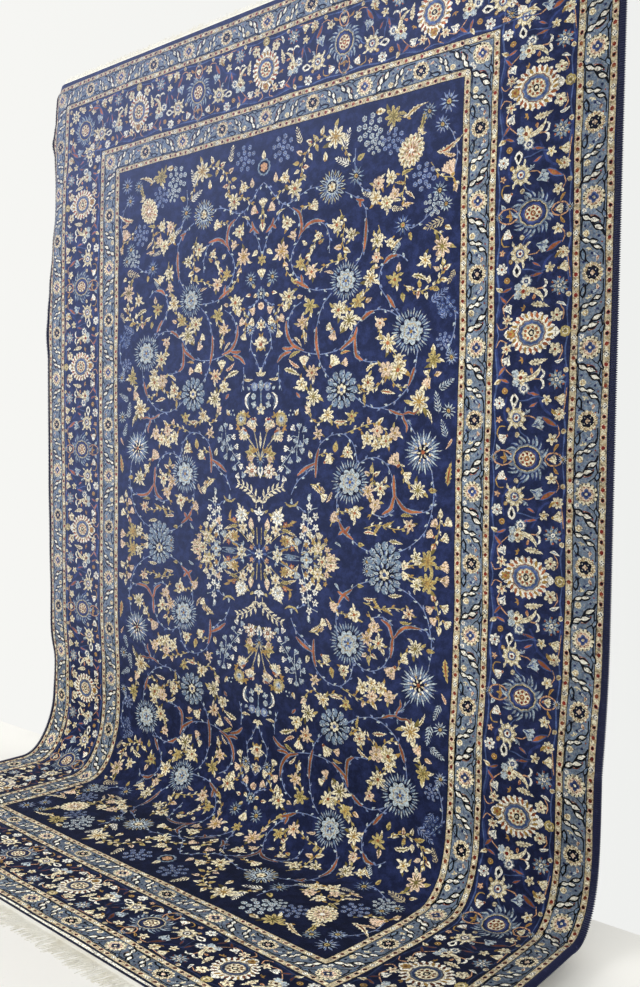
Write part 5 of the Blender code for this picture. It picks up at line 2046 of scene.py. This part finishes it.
def floor_finish():
    """A plain pale floor."""
    paint = Paint("pale_floor", Specular_IOR_Level=0.3)
    place = paint.place()
    clouds = paint.noise(place, 1.4, 4.0, 0.6)
    specks = paint.noise(place, 70.0, 3.0, 0.6).held(0.62, 0.80)
    plain = paint.mixed(light(252, 250, 246), light(243, 241, 236), clouds)
    return paint.finish(paint.mixed(plain, light(222, 219, 213), specks * 0.35),
                        0.55 + 0.2 * clouds, specks, 0.0003, 0.4)


# ---- camera, floor and light

CAMERA_PLACE = (2.1959, -1.7984, 1.3573)
CAMERA_TURN = 0.665
CAMERA_TILT = 0.0383
CAMERA_ROLL = 0.014
FOCAL_PIXELS = 900.0
IMAGE_WIDTH = 640.0
SENSOR_WIDTH = 36.0


def make_camera():
    """Stand the camera right of the rug, turned left towards it."""
    turn, tilt = CAMERA_TURN, CAMERA_TILT
    forward = Vector((-math.sin(turn) * math.cos(tilt), math.cos(turn) * math.cos(tilt),
                      -math.sin(tilt)))
    level = Vector((math.cos(turn), math.sin(turn), 0.0))
    right = math.cos(CAMERA_ROLL) * level + math.sin(CAMERA_ROLL) * level.cross(forward)
    up = right.cross(forward)
    camera = bpy.data.cameras.new("camera")
    camera.sensor_fit = "HORIZONTAL"
    camera.sensor_width = SENSOR_WIDTH
    camera.lens = FOCAL_PIXELS / IMAGE_WIDTH * SENSOR_WIDTH
    result = placed("camera", camera)
    axes = Matrix((right, up, -forward)).transposed().to_4x4()
    result.matrix_world = Matrix.Translation(CAMERA_PLACE) @ axes
    bpy.context.scene.camera = result


def make_light(name, place, target, size, power):
    """Hang a soft square light that faces a target."""
    lamp = bpy.data.lights.new(name, "AREA")
    lamp.size = size
    lamp.energy = power
    result = placed(name, lamp)
    result.location = place
    aim = Vector(target) - Vector(place)
    result.rotation_euler = aim.to_track_quat("-Z", "Y").to_euler()


FLOOR_REACH = 12.0
FLOOR_BACK = 0.78
# The soft lights: name, place, what they face, size and power
LIGHTS = (
    ("key_light", (-2.2, -3.4, 4.6), (0.0, 0.3, 1.4), 2.6, 88.0),
    ("fill_light", (3.2, -3.0, 2.6), (0.2, 0.2, 1.2), 2.4, 20.0),
)
WALL_LEFT = (246, 246, 243)
WALL_RIGHT = (239, 240, 238)
WALL_FROM = -0.30
WALL_TO = 0.33


def make_studio():
    """Shut the scene in plain pale light, brighter on its left."""
    world = bpy.data.worlds.new("studio")
    world.use_nodes = True
    sky = Nodes(world.node_tree)
    rightward = (math.cos(CAMERA_TURN), math.sin(CAMERA_TURN), 0.0)
    across = sky.out("ShaderNodeVectorMath", {"operation": "DOT_PRODUCT"},
                     {0: sky.out("ShaderNodeTexCoord", output="Generated"), 1: rightward}, "Value")
    share = sky.out("ShaderNodeMapRange", None,
                    {"Value": across, "From Min": WALL_FROM, "From Max": WALL_TO}, "Result")
    wall = sky.out("ShaderNodeMix", {"data_type": "RGBA"},
                   {0: share, 6: light(*WALL_LEFT), 7: light(*WALL_RIGHT)}, 2)
    sky.give(sky.tree.nodes["Background"].inputs["Color"], wall)
    bpy.context.scene.world = world


def make_surroundings():
    """Lay the pale floor and hang the studio's soft lights."""
    corners = [(-FLOOR_REACH, -FLOOR_REACH, 0.0), (FLOOR_REACH, -FLOOR_REACH, 0.0),
               (FLOOR_REACH, FLOOR_BACK, 0.0), (-FLOOR_REACH, FLOOR_BACK, 0.0)]
    floor = mesh_object("floor", corners, [(0, 1, 2), (0, 2, 3)], floor_finish())
    bpy.context.scene.view_settings.view_transform = "Standard"
    make_studio()
    for row in LIGHTS:
        make_light(*row)


# ---- the rug's pieces

SELVEDGE_RISE = 0.5 * SELVEDGE_THICK
SELVEDGE_END = 0.002
SELVEDGE_CUTS = 1200
# The fringes: name, end of the rug, which way they run from it, and what the strands are given
FRINGES = (
    ("fringe_top_strands", 0.0, -1, {"Strands": 560, "Length": 0.036, "Thickness": 0.0024,
                                     "Waviness": 0.016, "Flatness": 1.0, "Seed": 563}),
    ("fringe_bottom_strands", RUG_LENGTH, 1, {"Strands": 900, "Length": 0.072, "Thickness": 0.0032,
                                              "Waviness": 0.020, "Flatness": 0.12, "Seed": 903}),
)
FRINGE_INSET = 0.004
FRINGE_CUTS = 120
STRAND_ROOT = 0.002
TOP_LEAN = (0.0, 0.30, 0.0)


def ground_and_pile():
    """Make the ground weave with its reverse, and the pile on it."""
    chance = np.random.default_rng(SEED)
    shapes = []
    draw_field(shapes, chance)
    drawn = len(shapes)
    frames(shapes)
    shapes = shapes[drawn:] + shapes[:drawn]
    draw_borders(shapes, chance)
    shapes = [(spared(wandered(outline)), yarn, tone) for outline, yarn, tone in shapes]
    wool = pile_finish()
    pile = [slab(name, stretch, GROUND_THICK, RUG_THICK, wool, shapes)
            for name, stretch in PILE_STRETCHES.items()]
    bold = [(spared(outline, REVERSE_SPARED), yarn, tone) for outline, yarn, tone in shapes
            if np.ptp(outline, axis=0).min() > REVERSE_DETAIL]
    whole = (SELVEDGE_WIDTH, RUG_WIDTH - SELVEDGE_WIDTH, 0.0, RUG_LENGTH)
    ground = slab("ground_weave", whole, 0.0, GROUND_THICK, reverse_finish(), bold, True)
    return ground, pile


def selvedges():
    """Wind the two side edges with yarn."""
    finish = overcast_finish()
    tree = wraps_tree(finish)
    down = np.linspace(SELVEDGE_END, RUG_LENGTH - SELVEDGE_END, SELVEDGE_CUTS)
    made = []
    for name, middle in (("selvedge_left_wraps", SELVEDGE_WIDTH / 2),
                         ("selvedge_right_wraps", RUG_WIDTH - SELVEDGE_WIDTH / 2)):
        line = places(middle, down, SELVEDGE_RISE)
        across = places(middle + NEAR, down, SELVEDGE_RISE) - line
        source = polyline(name + "_line", line, across=across)
        made.append(tree.run(source, name, {}, finish))
    return made


def fringes():
    """Leave the warp ends loose beyond a narrow web at both ends."""
    finish = warp_finish()
    tree = strands_tree(finish)
    across = np.linspace(FRINGE_INSET, RUG_WIDTH - FRINGE_INSET, FRINGE_CUTS)
    middle = RUG_WIDTH / 2
    made = []
    for name, end, way, sizes in FRINGES:
        root = end + way * (GAP + WEB_WIDTH - STRAND_ROOT)
        line = places(across, root, WEB_THICK / 2)
        direction = (places(middle, root + way * 0.01, NEAR) - places(middle, root, NEAR))[0]
        direction = direction / np.linalg.norm(direction)
        if way < 0:
            direction = direction + TOP_LEAN
        sizes = {**sizes, "Direction": tuple(float(x) for x in direction)}
        strands_piece = tree.run(polyline(name + "_line", line), name, sizes, finish)
        web_range = sorted((end + way * GAP, end + way * (GAP + WEB_WIDTH)))
        web = slab(name + "_web", (0.0, RUG_WIDTH, *web_range), 0.0, WEB_THICK, finish)
        made.append(joined(strands_piece, web))
    return made


def joined(piece, other):
    """Join two objects into the first."""
    with bpy.context.temp_override(active_object=piece, object=piece,
                                   selected_editable_objects=[piece, other]):
        bpy.ops.object.join()
    return piece


make_camera()
ground, pile = ground_and_pile()
left_wraps, right_wraps = selvedges()
top_fringe, bottom_fringe = fringes()
for piece in (ground, *pile):
    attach(piece, "root")
for piece in (left_wraps, right_wraps):
    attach(piece, "root")
for piece in (top_fringe, bottom_fringe):
    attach(piece, "root")
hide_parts("rug")
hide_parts("selvedge_left")
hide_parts("selvedge_right")
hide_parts("fringe_top")
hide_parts("fringe_bottom")
make_surroundings()
